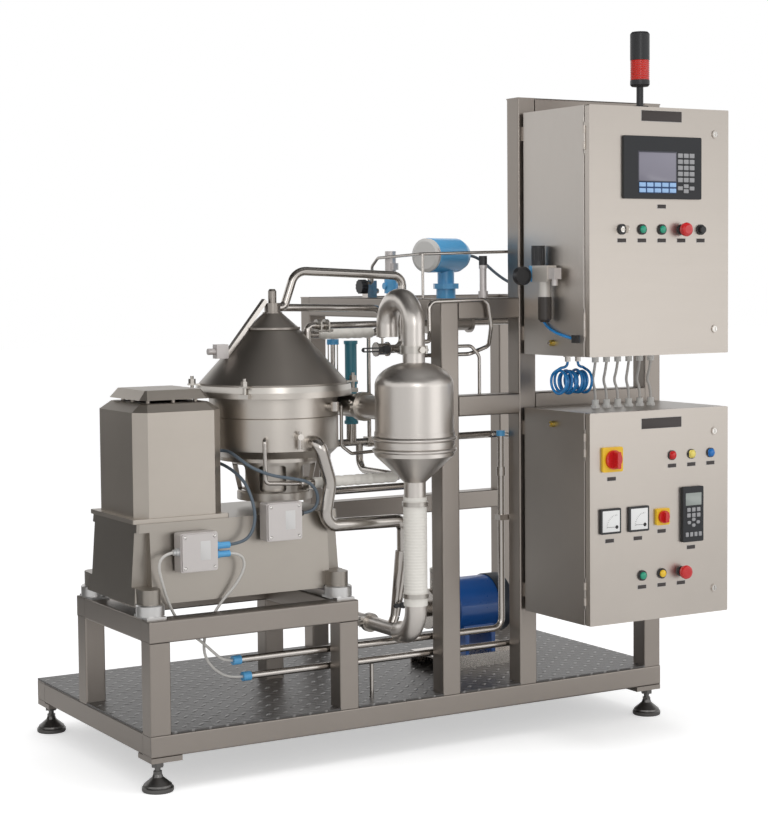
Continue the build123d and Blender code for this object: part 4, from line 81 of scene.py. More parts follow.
def at(x: float, y: float, z: float) -> Point:
    """The frame's place for metres from the skid's front left corner."""
    return (x - SKID_CORNER[0], y - SKID_CORNER[1], z)


def control_x(index: int) -> float:
    """Where the control of that number stands along a door, from the skid's left end."""
    return CABINET_X + CONTROL_FIRST + index * CONTROL_PITCH


class Tree:
    """Short calls that add and join the nodes of one tree."""

    def __init__(self, tree: bpy.types.NodeTree) -> None:
        """Keeps the tree that the calls work on."""
        self.tree = tree

    def node(self, kind: str, **values: object) -> bpy.types.Node:
        """Adds a node.

        Args:
            kind: Blender's name of the node type.
            values: properties that are set on it.

        Returns:
            The new node.
        """
        made = self.tree.nodes.new(kind)
        for key, value in values.items():
            setattr(made, key, value)
        return made

    def put(self, value: object, socket: bpy.types.NodeSocket) -> None:
        """Joins a socket to this one, or writes a plain value on it."""
        if isinstance(value, bpy.types.NodeSocket):
            self.tree.links.new(value, socket)
        else:
            socket.default_value = value

    def _sum(self, kind: str, operation: str, values: tuple) -> bpy.types.NodeSocket:
        """Adds a node that works on a row of values.

        Args:
            kind: Blender's name of the node type.
            operation: what it works out.
            values: sockets or plain values, in the order of its inputs.

        Returns:
            The result's socket.
        """
        made = self.node(kind, operation=operation)
        for value, socket in zip(values, made.inputs):
            self.put(value, socket)
        return made.outputs[0]

    def math(self, operation: str, *values: object) -> bpy.types.NodeSocket:
        """Adds a Math node and returns its result."""
        return self._sum("ShaderNodeMath", operation, values)

    def vector(self, operation: str, *values: object) -> bpy.types.NodeSocket:
        """Adds a Vector Math node and returns its vector."""
        return self._sum("ShaderNodeVectorMath", operation, values)

    def mix(self, factor: object, first: object, second: object) -> bpy.types.NodeSocket:
        """Mixes two colours.

        Args:
            factor: share of the second colour.
            first: colour at 0.
            second: colour at 1.

        Returns:
            The mixed colour's socket.
        """
        made = self.node("ShaderNodeMix", data_type="RGBA")
        self.put(factor, made.inputs[0])
        for value, socket in ((first, made.inputs[6]), (second, made.inputs[7])):
            self.put((*value, 1.0) if isinstance(value, tuple) else value, socket)
        return made.outputs[2]

    def blend(self, factor: object, first: object, second: float) -> bpy.types.NodeSocket:
        """Mixes two numbers.

        Args:
            factor: share of the second number.
            first: number at 0.
            second: number at 1.

        Returns:
            The mixed number's socket.
        """
        made = self.node("ShaderNodeMix", data_type="FLOAT")
        for value, socket in zip((factor, first, second), (made.inputs[0], made.inputs[2], made.inputs[3])):
            self.put(value, socket)
        return made.outputs[0]

    def noise(self, vector: object, scale: float, detail: float = 3.0) -> bpy.types.NodeSocket:
        """Adds a noise texture.

        Args:
            vector: where it is read.
            scale: its clouds per metre.
            detail: how many finer layers it has.

        Returns:
            The grey value's socket.
        """
        made = self.node("ShaderNodeTexNoise")
        self.put(vector, made.inputs["Vector"])
        made.inputs["Scale"].default_value = scale
        made.inputs["Detail"].default_value = detail
        return made.outputs["Fac"]

    def group(self, tree: bpy.types.NodeTree, **values: object) -> bpy.types.Node:
        """Adds a shared group.

        Args:
            tree: the group's tree.
            values: sockets or plain values by input name.

        Returns:
            The new node.
        """
        made = self.node("ShaderNodeGroup", node_tree=tree)
        for key, value in values.items():
            self.put(value, made.inputs[key])
        return made


def new_object(name: str, data: bpy.types.ID) -> bpy.types.Object:
    """Makes an object and links it to the scene.

    Args:
        name: its name.
        data: its mesh, curve, lamp or camera.

    Returns:
        The object.
    """
    made = bpy.data.objects.new(name, data)
    bpy.context.scene.collection.objects.link(made)
    return made


def new_material(name: str) -> tuple[bpy.types.Material, Tree, bpy.types.Node]:
    """Makes a material that is built from nodes.

    Args:
        name: its name.

    Returns:
        The material, its tree and its main shader.
    """
    made = bpy.data.materials.new(name)
    made.use_nodes = True
    return made, Tree(made.node_tree), made.node_tree.nodes["Principled BSDF"]


class Effects:
    """The shader groups that the finishes share, each built once."""

    # Scale, detail and share of the large and of the small clouds
    CLOUDS = ((3.1, 2.0, 0.7), (23.0, 4.0, 0.3))
    STREAK_DETAIL = 4.0

    # Cells over half a tread drop's length and width, and how the cells are turned
    DROP_LENGTH = 2.1
    DROP_WIDTH = 6.5
    DROP_TURN = math.radians(45)

    def __init__(self) -> None:
        """Builds the four groups."""
        self.grain = self._grain()
        self.marks = self._marks()
        self.inside = self._inside()
        self.tread = self._tread()

    def _start(self, name: str, inputs: dict[str, str], outputs: dict[str, str]) -> tuple:
        """Makes an empty group.

        Args:
            name: the group's name.
            inputs: socket types by input name.
            outputs: socket types by output name.

        Returns:
            The group's tree wrapped in Tree, its input node and its output node.
        """
        tree = bpy.data.node_groups.new(name, "ShaderNodeTree")
        for way, sockets in (("INPUT", inputs), ("OUTPUT", outputs)):
            for key, kind in sockets.items():
                tree.interface.new_socket(key, in_out=way, socket_type=kind)
        short = Tree(tree)
        return short, short.node("NodeGroupInput"), short.node("NodeGroupOutput")

    def _grain(self) -> bpy.types.NodeTree:
        """Brushed grain: noise on coordinates stretched along the brushing.

        Returns:
            The group's tree.
        """
        tree, source, result = self._start(
            "brushed_grain", {"Vector": "NodeSocketVector", "Stretch": "NodeSocketVector"},
            {"Streaks": "NodeSocketFloat"})
        stretched = tree.vector("MULTIPLY", source.outputs["Vector"], source.outputs["Stretch"])
        tree.put(tree.noise(stretched, 1.0, self.STREAK_DETAIL), result.inputs["Streaks"])
        return tree.tree

    def _marks(self) -> bpy.types.NodeTree:
        """Handling marks: large soft clouds broken by finer ones, each noise by its own share.

        Returns:
            The group's tree.
        """
        tree, source, result = self._start(
            "handling_marks", {"Vector": "NodeSocketVector"}, {"Marks": "NodeSocketFloat"})
        large, small = (tree.math("MULTIPLY", tree.noise(source.outputs["Vector"], scale, detail), share)
                        for scale, detail, share in self.CLOUDS)
        tree.put(tree.math("ADD", large, small), result.inputs["Marks"])
        return tree.tree

    def _inside(self) -> bpy.types.NodeTree:
        """A mask that is 1 inside a box: the least of the six distances to its sides is above 0.

        Returns:
            The group's tree.
        """
        tree, source, result = self._start(
            "inside_box", dict.fromkeys(("Vector", "Low", "High"), "NodeSocketVector"),
            {"Mask": "NodeSocketFloat"})
        above = tree.vector("SUBTRACT", source.outputs["Vector"], source.outputs["Low"])
        below = tree.vector("SUBTRACT", source.outputs["High"], source.outputs["Vector"])
        least = tree.node("ShaderNodeSeparateXYZ")
        tree.put(tree.vector("MINIMUM", above, below), least.inputs[0])
        nearest = tree.math("MINIMUM", least.outputs[0], least.outputs[1])
        nearest = tree.math("MINIMUM", nearest, least.outputs[2])
        tree.put(tree.math("GREATER_THAN", nearest, 0.0), result.inputs["Mask"])
        return tree.tree

    def _tread(self) -> bpy.types.NodeTree:
        """Tear tread: on a checker of cells turned 45 degrees, long drops lie one way, then the other.

        A drop's height is one minus the squared distance from its middle, each axis divided by half the
        drop's size, and 0 outside.

        Returns:
            The group's tree.
        """
        tree, source, result = self._start(
            "tear_tread", {"Vector": "NodeSocketVector", "Pitch": "NodeSocketFloat"},
            {"Height": "NodeSocketFloat"})
        turn = tree.node("ShaderNodeVectorRotate", rotation_type="Z_AXIS")
        turn.inputs["Angle"].default_value = self.DROP_TURN
        tree.put(source.outputs["Vector"], turn.inputs["Vector"])
        axes = tree.node("ShaderNodeSeparateXYZ")
        tree.put(turn.outputs[0], axes.inputs[0])
        cells = [tree.math("DIVIDE", axes.outputs[i], source.outputs["Pitch"]) for i in range(2)]
        across, along = (tree.math("SUBTRACT", tree.math("FRACT", cell), 0.5) for cell in cells)
        rows = tree.math("ADD", tree.math("FLOOR", cells[0]), tree.math("FLOOR", cells[1]))
        odd = tree.math("PINGPONG", rows, 1.0)
        even = tree.math("SUBTRACT", 1.0, odd)
        parts = []
        for first, second, size in ((across, along, self.DROP_LENGTH), (along, across, self.DROP_WIDTH)):
            way = tree.math("ADD", tree.math("MULTIPLY", odd, first), tree.math("MULTIPLY", even, second))
            parts.append(tree.math("POWER", tree.math("MULTIPLY", way, size), 2.0))
        height = tree.math("SUBTRACT", 1.0, tree.math("ADD", *parts))
        tree.put(tree.math("MAXIMUM", height, 0.0), result.inputs["Height"])
        return tree.tree


class Grain(Enum):
    """How finely the streaks of a finish lie, as waves per metre along x, y and z."""

    ALONG_X = (6.0, 420.0, 420.0)
    ALONG_Z = (420.0, 420.0, 6.0)
    TURNED = (90.0, 90.0, 900.0)
    SATIN = (260.0, 260.0, 260.0)
    CAST = (130.0, 130.0, 130.0)
    MOULDED = (700.0, 700.0, 700.0)


COAT_ROUGHNESS = 0.12
BUMP_HEIGHT = 0.0006

# How much streaks and marks add to a finish's roughness, which starts lower by their middle
GLOSS_MIDDLE = 0.09
STREAK_GLOSS = 0.1
MARK_GLOSS = 0.08

# The deck's tear pattern: its cell, how steep a drop's edge, how bright and how high its top is
TREAD_PITCH = 0.036
TREAD_EDGE = 1.6
TREAD_WEAR = 0.45
TREAD_RISE = 6.0
WORN_STEEL = (0.42, 0.41, 0.4)


@dataclass(frozen=True)
class Patch:
    """A box on a node whose surface has another colour."""

    low: Point
    high: Point
    colour: Colour
    metallic: float = 0.0
    roughness: float = 0.35


@dataclass(frozen=True)
class Finish:
    """A rigid finish: colour with cloudy variation, streaks in roughness and bump, and patches."""

    name: str
    colour: Colour
    roughness: float = 0.4
    metallic: float = 0.0
    grain: Grain = Grain.SATIN
    relief: float = 0.1
    variation: float = 0.12
    coat: float = 0.0
    tread: bool = False
    patches: tuple[Patch, ...] = ()

    def material(self, effects: Effects) -> bpy.types.Material:
        """Builds the material.

        Args:
            effects: the shared shader groups.

        Returns:
            The finished material.
        """
        made, tree, shader = new_material(self.name)
        place = tree.node("ShaderNodeTexCoord").outputs["Object"]
        streaks = tree.group(effects.grain, Vector=place, Stretch=self.grain.value).outputs[0]
        marks = tree.group(effects.marks, Vector=place).outputs[0]
        dark = tuple(c * (1 - self.variation) for c in self.colour)
        light = tuple(min(1.0, c * (1 + self.variation)) for c in self.colour)
        colour = tree.mix(marks, dark, light)
        colour = tree.mix(tree.math("MULTIPLY", streaks, self.variation), colour, light)
        rough = tree.math("ADD", self.roughness - GLOSS_MIDDLE, tree.math("MULTIPLY", streaks, STREAK_GLOSS))
        rough = tree.math("ADD", rough, tree.math("MULTIPLY", marks, MARK_GLOSS))
        metallic = self.metallic
        height = streaks
        if self.tread:
            drops = tree.group(effects.tread, Vector=place, Pitch=TREAD_PITCH).outputs[0]
            worn = tree.math("MINIMUM", tree.math("MULTIPLY", drops, TREAD_EDGE), 1.0)
            colour = tree.mix(tree.math("MULTIPLY", worn, TREAD_WEAR), colour, WORN_STEEL)
            height = tree.math("ADD", tree.math("MULTIPLY", drops, TREAD_RISE), streaks)
        for box in self.patches:
            mask = tree.group(effects.inside, Vector=place, Low=box.low, High=box.high).outputs[0]
            colour = tree.mix(mask, colour, box.colour)
            rough = tree.blend(mask, rough, box.roughness)
            metallic = tree.blend(mask, metallic, box.metallic)
        bump = tree.node("ShaderNodeBump")
        bump.inputs["Strength"].default_value = self.relief
        bump.inputs["Distance"].default_value = BUMP_HEIGHT
        tree.put(height, bump.inputs["Height"])
        tree.put(bump.outputs[0], shader.inputs["Normal"])
        tree.put(colour, shader.inputs["Base Color"])
        tree.put(rough, shader.inputs["Roughness"])
        tree.put(metallic, shader.inputs["Metallic"])
        shader.inputs["Coat Weight"].default_value = self.coat
        shader.inputs["Coat Roughness"].default_value = COAT_ROUGHNESS
        return made


def patch(x: Range, y: Range, z: Range, colour: Colour, metallic: float = 0.0,
          roughness: float = 0.35) -> Patch:
    """A coloured box whose ranges are given in metres from the skid's corner."""
    return Patch(at(x[0], y[0], z[0]), at(x[1], y[1], z[1]), colour, metallic, roughness)


def steel(name: str, colour: Colour, roughness: float, grain: Grain, relief: float,
          variation: float = 0.12) -> Finish:
    """Bare metal with the streaks of its grain."""
    return Finish(name, colour, roughness, 1.0, grain, relief, variation)


def moulded(name: str, colour: Colour, roughness: float, relief: float, coat: float = 0.0,
            variation: float = 0.12) -> Finish:
    """Moulded plastic, rubber or glass with a fine even skin."""
    return Finish(name, colour, roughness, 0.0, Grain.MOULDED, relief, variation, coat)


RED = (0.58, 0.012, 0.014)
GREEN = (0.01, 0.32, 0.19)
YELLOW = (0.87, 0.55, 0.02)
BLACK = (0.018, 0.018, 0.02)
FILM = (0.88, 0.85, 0.79)
STEEL = (0.5, 0.465, 0.43)
PALE = (0.62, 0.62, 0.62)
BLUE = (0.09, 0.38, 0.7)
TEAL = (0.05, 0.25, 0.33)
AMBER = (0.85, 0.7, 0.16)
DEEP_BLUE = (0.01, 0.16, 0.5)
BRASS = (0.55, 0.42, 0.12)
PIPE = (0.56, 0.525, 0.49)
CAST_GREY = (0.6, 0.56, 0.51)
NECK_GREY = (0.58, 0.55, 0.51)
CAP_GREY = (0.62, 0.61, 0.59)
BOX_GREY = (0.6, 0.565, 0.55)
SMOKE = (0.035, 0.028, 0.024)
NYLON = (0.8, 0.79, 0.76)

FINISHES = {made.name: made for made in (
    steel("frame_steel", (0.335, 0.3, 0.27), 0.38, Grain.ALONG_Z, 0.08, 0.08),
    Finish("checker_plate", (0.115, 0.11, 0.107), 0.4, 0.85, Grain.SATIN, 0.8, 0.15, tread=True),
    Finish("feet_steel", (0.16, 0.155, 0.15), 0.32, 0.9, Grain.TURNED, 0.06),
    steel("damper_metal", (0.66, 0.65, 0.64), 0.34, Grain.TURNED, 0.1),
    steel("casing_steel", (0.43, 0.4, 0.37), 0.36, Grain.SATIN, 0.16, 0.1),
    steel("cover_steel", (0.5, 0.455, 0.405), 0.4, Grain.ALONG_X, 0.08, 0.1),
    Finish("motor_paint", (0.05, 0.06, 0.07), 0.4, coat=0.3, grain=Grain.CAST),
    steel("machined_steel", (0.55, 0.54, 0.52), 0.26, Grain.TURNED, 0.1),
    moulded("belt_rubber", (0.02, 0.02, 0.02), 0.7, 0.3),
    steel("polished_steel", (0.6, 0.56, 0.52), 0.27, Grain.SATIN, 0.05, 0.07),
    steel("clamp_steel", (0.56, 0.53, 0.49), 0.3, Grain.SATIN, 0.03, 0.07),
    moulded("hose_white", FILM, 0.42, 0.1, coat=0.2),
    moulded("film", FILM, 0.5, 0.12, variation=0.07),
    steel("cabinet_steel", (0.47, 0.435, 0.4), 0.36, Grain.ALONG_Z, 0.07, 0.07),
    steel("door_steel", (0.53, 0.485, 0.44), 0.36, Grain.ALONG_X, 0.07, 0.06),
    moulded("black_plastic", BLACK, 0.36, 0.15),
    moulded("panel_black", (0.012, 0.013, 0.016), 0.48, 0.2),
    moulded("green_plastic", GREEN, 0.22, 0.05, coat=0.5),
    moulded("red_plastic", RED, 0.26, 0.05, coat=0.4),
    moulded("yellow_plastic", YELLOW, 0.24, 0.05, coat=0.4),
    steel("nickel", (0.68, 0.66, 0.63), 0.2, Grain.SATIN, 0.04, 0.06),
    Finish("blue_paint", (0.006, 0.1, 0.4), 0.3, grain=Grain.CAST, relief=0.2, coat=0.5),
    Finish("dark_paint", (0.03, 0.04, 0.055), 0.45, grain=Grain.CAST, relief=0.15),
    Finish("box_aluminium", (0.56, 0.55, 0.55), 0.45, 0.6, Grain.CAST, 0.2, 0.06),
    moulded("blue_hose", (0.02, 0.24, 0.6), 0.25, 0.05, coat=0.4),
    moulded("cable_grey", (0.6, 0.58, 0.55), 0.45, 0.1),
    moulded("cable_dark", (0.1, 0.13, 0.16), 0.4, 0.12),
    moulded("label_face", (0.045, 0.036, 0.034), 0.45, 0.1),
    moulded("label_white", (0.66, 0.65, 0.64), 0.4, 0.04, variation=0.06),
    Finish("label_rim", (0.55, 0.54, 0.53), 0.35, 0.7, Grain.SATIN, 0.1),
    moulded("screen", (0.22, 0.21, 0.26), 0.18, 0.02, coat=0.6, variation=0.05),
    moulded("screen_trim", (0.06, 0.06, 0.075), 0.3, 0.05),
    moulded("blue_keys", (0.33, 0.52, 0.8), 0.35, 0.1),
    moulded("blue_field", (0.012, 0.05, 0.16), 0.35, 0.05),
    moulded("grey_keys", (0.33, 0.33, 0.34), 0.42, 0.1),
    moulded("dial_white", (0.84, 0.84, 0.83), 0.3, 0.02, variation=0.03),
    moulded("dial_ink", (0.02, 0.02, 0.02), 0.4, 0.02),
    moulded("display", (0.3, 0.33, 0.31), 0.2, 0.02, coat=0.5, variation=0.05),
    moulded("red_lens", (0.55, 0.02, 0.012), 0.12, 0.03, coat=0.8),
    Finish("blue_cast", (0.045, 0.235, 0.5), 0.36, grain=Grain.CAST, relief=0.2, coat=0.35),
)}


@dataclass
class Studio:
    """Floor, light, background and the camera that stands where the photograph's did."""

    camera_place: Point = (-2.8498, -4.8478, 1.3729)
    azimuth: float = math.radians(30.525)
    elevation: float = math.radians(-3.512)
    roll: float = math.radians(-0.505)
    lens: float = 82.68
    shift: tuple[float, float] = (0.0025, -0.0293)
    sensor: float = 36.0
    sight: float = 200.0
    floor_size: float = 60.0
    floor_greys: tuple[Colour, Colour] = ((0.8, 0.8, 0.8), (0.82, 0.82, 0.82))
    floor_glow: float = 0.5
    sky: Colour = (0.62, 0.62, 0.62)
    backdrop: Colour = (1.0, 1.0, 1.0)
    card_colour: Colour = (0.05, 0.045, 0.04)
    matt: float = 0.9
    lamps: tuple = (
        ("key", (2.7, -4.5, 0.95), (0.2, 0.0, 0.9), (3.2, 1.6), 13.0),
        ("front", (-2.1, -5.3, 2.3), (-0.1, 0.0, 0.9), (1.5, 1.9), 26.0),
        ("top", (0.3, -1.2, 4.6), (0.0, 0.0, 0.5), (3.0, 3.0), 70.0),
    )
    cards: tuple = (
        ("card_left", (-2.3, 1.3, 0.62), (-0.6, 0.0, 0.62), (2.6, 1.3)),
        ("card_above", (-0.3, 0.4, 3.4), (-0.29, 0.39, 0.0), (8.0, 8.0)),
    )

    def build(self) -> None:
        """Places the camera, the floor, the world, the lamps and the dark cards."""
        self._camera()
        self._floor()
        self._world()
        for lamp in self.lamps:
            self._soft_box(*lamp)
        for card in self.cards:
            self._card(*card)
        bpy.context.scene.view_settings.view_transform = "Standard"
        LOG.info("studio in place")

    def _camera(self) -> None:
        """Aims the camera: forward from azimuth and elevation, then a small roll about it."""
        data = bpy.data.cameras.new("camera")
        data.lens = self.lens
        data.sensor_width = self.sensor
        data.sensor_fit = "AUTO"
        data.shift_x, data.shift_y = self.shift
        data.clip_end = self.sight
        camera = new_object("camera", data)
        flat = math.cos(self.elevation)
        ahead = np.array([math.sin(self.azimuth) * flat, math.cos(self.azimuth) * flat,
                          math.sin(self.elevation)])
        right = np.array([math.cos(self.azimuth), -math.sin(self.azimuth), 0.0])
        up = np.cross(right, ahead)
        rolled = math.cos(self.roll) * right + math.sin(self.roll) * up
        upward = math.cos(self.roll) * up - math.sin(self.roll) * right
        turn = Matrix(np.column_stack([rolled, upward, -ahead]).tolist()).to_4x4()
        camera.matrix_world = Matrix.Translation(self.camera_place) @ turn
        bpy.context.scene.camera = camera

    def _floor(self) -> None:
        """A pale floor that shows white to the camera and keeps the object's shadow."""
        made, tree, shader = new_material("floor")
        place = tree.node("ShaderNodeTexCoord").outputs["Object"]
        tree.put(tree.mix(tree.noise(place, 2.0), *self.floor_greys), shader.inputs["Base Color"])
        shader.inputs["Roughness"].default_value = self.matt
        shader.inputs["Specular IOR Level"].default_value = 0.1
        shader.inputs["Emission Color"].default_value = (*self.backdrop, 1.0)
        seen = tree.node("ShaderNodeLightPath").outputs["Is Camera Ray"]
        tree.put(tree.math("MULTIPLY", seen, self.floor_glow), shader.inputs["Emission Strength"])
        self._sheet("floor", self.floor_size, self.floor_size, made)

    def _sheet(self, name: str, wide: float, high: float, look: bpy.types.Material) -> bpy.types.Object:
        """A flat rectangle round the origin.

        Args:
            name: its name.
            wide: its size along x.
            high: its size along y.
            look: its material.

        Returns:
            The object.
        """
        mesh = bpy.data.meshes.new(name)
        corners = np.array([[-1, -1, 0], [1, -1, 0], [1, 1, 0], [-1, 1, 0]]) * [wide / 2, high / 2, 0.0]
        mesh.from_pydata(corners.tolist(), [], [(0, 1, 2, 3)])
        mesh.materials.append(look)
        return new_object(name, mesh)

    def _world(self) -> None:
        """A soft grey sky that the camera, gloss and glass see as white."""
        world = bpy.data.worlds.new("studio")
        bpy.context.scene.world = world
        world.use_nodes = True
        tree = Tree(world.node_tree)
        ray = tree.node("ShaderNodeLightPath").outputs
        seen = tree.math("ADD", ray["Is Camera Ray"], ray["Is Glossy Ray"])
        seen = tree.math("MINIMUM", tree.math("ADD", seen, ray["Is Transmission Ray"]), 1.0)
        tree.put(tree.mix(seen, self.sky, self.backdrop), world.node_tree.nodes["Background"].inputs[0])

    def _aim(self, place: Point, target: Point) -> Matrix:
        """Works out how a lamp or a card faces its target.

        Args:
            place: where it stands.
            target: what its -Z looks at.

        Returns:
            Its transform.
        """
        ahead = np.array(target) - np.array(place)
        ahead /= np.linalg.norm(ahead)
        right = np.cross(ahead, [0.0, 0.0, 1.0])
        right /= np.linalg.norm(right)
        turn = Matrix(np.column_stack([right, np.cross(right, ahead), -ahead]).tolist()).to_4x4()
        return Matrix.Translation(place) @ turn

    def _soft_box(self, name: str, place: Point, target: Point, size: Range, power: float) -> None:
        """Hangs a rectangular soft box.

        Args:
            name: the lamp's name.
            place: where it hangs.
            target: what it faces.
            size: its width and height.
            power: its power in watts.
        """
        data = bpy.data.lights.new(name, "AREA")
        data.shape = "RECTANGLE"
        data.size, data.size_y = size
        data.energy = power
        new_object(name, data).matrix_world = self._aim(place, target)

    def _card(self, name: str, place: Point, target: Point, size: Range) -> None:
        """Stands a dark card that only gloss sees.

        Args:
            name: the card's name.
            place: its middle.
            target: what it faces.
            size: its width and height.
        """
        made, _, shader = new_material(name)
        shader.inputs["Base Color"].default_value = (*self.card_colour, 1.0)
        shader.inputs["Roughness"].default_value = self.matt
        card = self._sheet(name, *size, made)
        card.matrix_world = self._aim(place, target)
        card.visible_camera = False
        card.visible_diffuse = False
        card.visible_shadow = False


class Lay(Enum):
    LOOSE = "loose"
    HANGING = "hanging"
    COILED = "coiled"


CORD_SIDES = 5
CORD_STEPS = 10


class Kind(Enum):
    """The kinds of cord: CAD node, diameter, finish and material slot."""

    DARK = ("dark_cables", 0.009, "cable_dark", "black_plastic")
    LIGHT = ("light_cables", 0.008, "cable_grey", "cable_grey")
    AIR = ("air_hoses", 0.008, "blue_hose", "blue_hose")


@dataclass
class Cord:
    """A flexible run: its real length, and its control points in metres from the skid's corner."""

    name: str
    kind: Kind
    length: float
    points: list[Point]
    lay: Lay = Lay.LOOSE

    def build(self, materials: dict[str, bpy.types.Material]) -> bpy.types.Object:
        """Args:
            materials: finished materials by name.

        Returns:
            The curve object.
        """
        node, diameter, look, slot = self.kind.value
        curve = bpy.data.curves.new(self.name, "CURVE")
        curve.dimensions = "3D"
        curve.bevel_depth = diameter / 2
        curve.bevel_resolution = CORD_SIDES
        curve.resolution_u = CORD_STEPS
        curve.use_fill_caps = True
        spline = curve.splines.new("NURBS")
        spline.points.add(len(self.points) - 1)
        places = np.array([(*at(*point), 1.0) for point in self.points])
        spline.points.foreach_set("co", places.ravel())
        spline.order_u = 3
        spline.use_endpoint_u = True
        made = new_object(self.name, curve)
        curve.materials.append(materials[look])
        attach(made, "skid")
        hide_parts(node)
        LOG.info("cord %s, %.3f m", self.name, self.length)
        return made


@dataclass
class Cabling:
    """Every cable and air hose of the skid."""

    jumper_pitch: float = 0.0406
    jumper_first: float = 1.342
    jumper_bow: float = 0.005
    jumper_bow_step: float = 0.002
    coil_turns: int = 9
    coil_radius: float = 0.031
    coil_looseness: float = 0.13
    coil_beat: float = 0.37
    coil_x: Range = (1.220, 1.322)
    coil_y: float = -0.140
    coil_z: float = 1.057
    turn_points: int = 12
    runs: list[Cord] = field(default_factory=list)

    def build(self, materials: dict[str, bpy.types.Material]) -> None:
        """Lays all the runs.

        Args:
            materials: finished materials by name.
        """
        self._dark_runs()
        self._light_runs()
        self._air_runs()
        for run in self.runs:
            run.build(materials)

    def _dark_runs(self) -> None:
        """The dark cables: two from the motor cover to its boxes, one from the transmitter."""
        self.runs.append(Cord("cover_to_right_box", Kind.DARK, 0.463, [
            (0.296, 0.200, 0.885), (0.316, 0.197, 0.884), (0.322, 0.165, 0.882), (0.320, 0.110, 0.870),
            (0.336, 0.066, 0.846), (0.395, 0.052, 0.820), (0.465, 0.048, 0.808), (0.512, 0.050, 0.796),
            (0.540, 0.056, 0.764), (0.542, 0.062, 0.729), (0.522, 0.067, 0.7095), (0.497, 0.067, 0.709),
        ]))
        self.runs.append(Cord("cover_to_left_box", Kind.DARK, 0.392, [
            (0.296, 0.236, 0.850), (0.314, 0.232, 0.848), (0.319, 0.190, 0.842), (0.318, 0.130, 0.830),
            (0.326, 0.082, 0.806), (0.338, 0.062, 0.760), (0.346, 0.058, 0.712), (0.336, 0.057, 0.668),
            (0.306, 0.057, 0.642), (0.264, 0.057, 0.640),
        ]))
        self.runs.append(Cord("transmitter_to_cabinet", Kind.DARK, 0.364, [
            (1.1806, 0.271, 1.426), (1.216, 0.283, 1.425), (1.250, 0.276, 1.402), (1.268, 0.238, 1.368),
            (1.276, 0.176, 1.340), (1.280, 0.104, 1.331), (1.282, 0.008, 1.330),
        ]))

    def _light_runs(self) -> None:
        """The pale cables: two that drop to the conduits, and the jumpers between the cabinets."""
        self.runs.append(Cord("left_box_to_conduit", Kind.LIGHT, 0.433, [
            (0.096, 0.057, 0.631), (0.070, 0.058, 0.627), (0.054, 0.060, 0.600), (0.066, 0.062, 0.552),
            (0.084, 0.068, 0.500), (0.108, 0.072, 0.452), (0.144, 0.074, 0.410), (0.190, 0.075, 0.374),
            (0.226, 0.076, 0.340), (0.250, 0.076, 0.320), (0.278, 0.076, 0.316),
        ]))
        self.runs.append(Cord("right_gland_to_conduit", Kind.LIGHT, 0.480, [
            (0.264, 0.057, 0.616), (0.296, 0.057, 0.613), (0.312, 0.058, 0.588), (0.304, 0.060, 0.556),
            (0.280, 0.064, 0.520), (0.246, 0.069, 0.486), (0.216, 0.074, 0.442), (0.200, 0.084, 0.396),
            (0.197, 0.090, 0.346), (0.217, 0.088, 0.305), (0.249, 0.081, 0.279), (0.280, 0.076, 0.269),
            (0.308, 0.076, 0.268),
        ]))
        for index in range(6):
            bow = self.jumper_bow + self.jumper_bow_step * (index % 3)
            x = self.jumper_first + self.jumper_pitch * index
            self.runs.append(Cord(f"jumper_{index}", Kind.LIGHT, 0.110, [
                (x, -0.160, 1.002), (x + 0.002, -0.157, 1.02925), (x + 0.002 - bow, -0.150, 1.0565),
                (x - 0.002, -0.157, 1.08375), (x, -0.160, 1.111),
            ]))

    def _air_runs(self) -> None:
        """The blue air hoses: the feed that bows out beside the cabinet, and the spiral one.

        The spiral's turns lie side by side round a line along x: y and z follow a circle while x
        grows by the same step from point to point. The circle's radius swells and shrinks by a slow
        sine, so that no two turns are alike.
        """
        self.runs.append(Cord("air_feed", Kind.AIR, 0.272, [
            (1.178, -0.122, 1.346), (1.180, -0.116, 1.316), (1.184, -0.108, 1.286), (1.187, -0.106, 1.256),
            (1.189, -0.120, 1.228), (1.190, -0.152, 1.208), (1.190, -0.200, 1.194), (1.190, -0.262, 1.185),
        ], Lay.HANGING))
        count = self.coil_turns * self.turn_points
        turn = np.linspace(0.0, 2 * math.pi * self.coil_turns, count + 1)
        x = np.linspace(*self.coil_x, count + 1)
        radius = self.coil_radius * (1 + self.coil_looseness * np.sin(turn * self.coil_beat))
        circle = np.column_stack([x, self.coil_y + radius * np.sin(turn),
                                  self.coil_z + radius * np.cos(turn)])
        lead_in = [(1.258, -0.140, 1.115), (1.257, -0.140, 1.105), (1.248, -0.140, 1.099),
                   (1.234, -0.141, 1.098), (1.222, -0.146, 1.094)]
        lead_out = [(1.322, -0.134, 1.094), (1.314, -0.139, 1.098), (1.304, -0.140, 1.099),
                    (1.295, -0.140, 1.105), (1.294, -0.140, 1.115)]
        route = lead_in + circle[1:-1].tolist() + lead_out
        self.runs.append(Cord("spiral_hose", Kind.AIR, 1.807, route, Lay.COILED))


def rounded_outline(wide: float, high: float, corner: float, steps: int = 4) -> np.ndarray:
    """The outline of a rounded rectangle: each corner's centre plus its radius times the turning angle's
    cosine and sine.

    Args:
        wide: full width.
        high: full height.
        corner: corner radius.
        steps: spaces in each quarter turn.

    Returns:
        Points of shape (4 * (steps + 1), 2), anticlockwise.
    """
    angle = (np.arange(4)[:, None] * (math.pi / 2) + np.linspace(0.0, math.pi / 2, steps + 1)).ravel()
    side = np.repeat([[1, 1], [-1, 1], [-1, -1], [1, -1]], steps + 1, axis=0)
    arcs = corner * np.column_stack([np.cos(angle), np.sin(angle)])
    return side * [wide / 2 - corner, high / 2 - corner] + arcs


SLAB_BEVEL = 0.0004
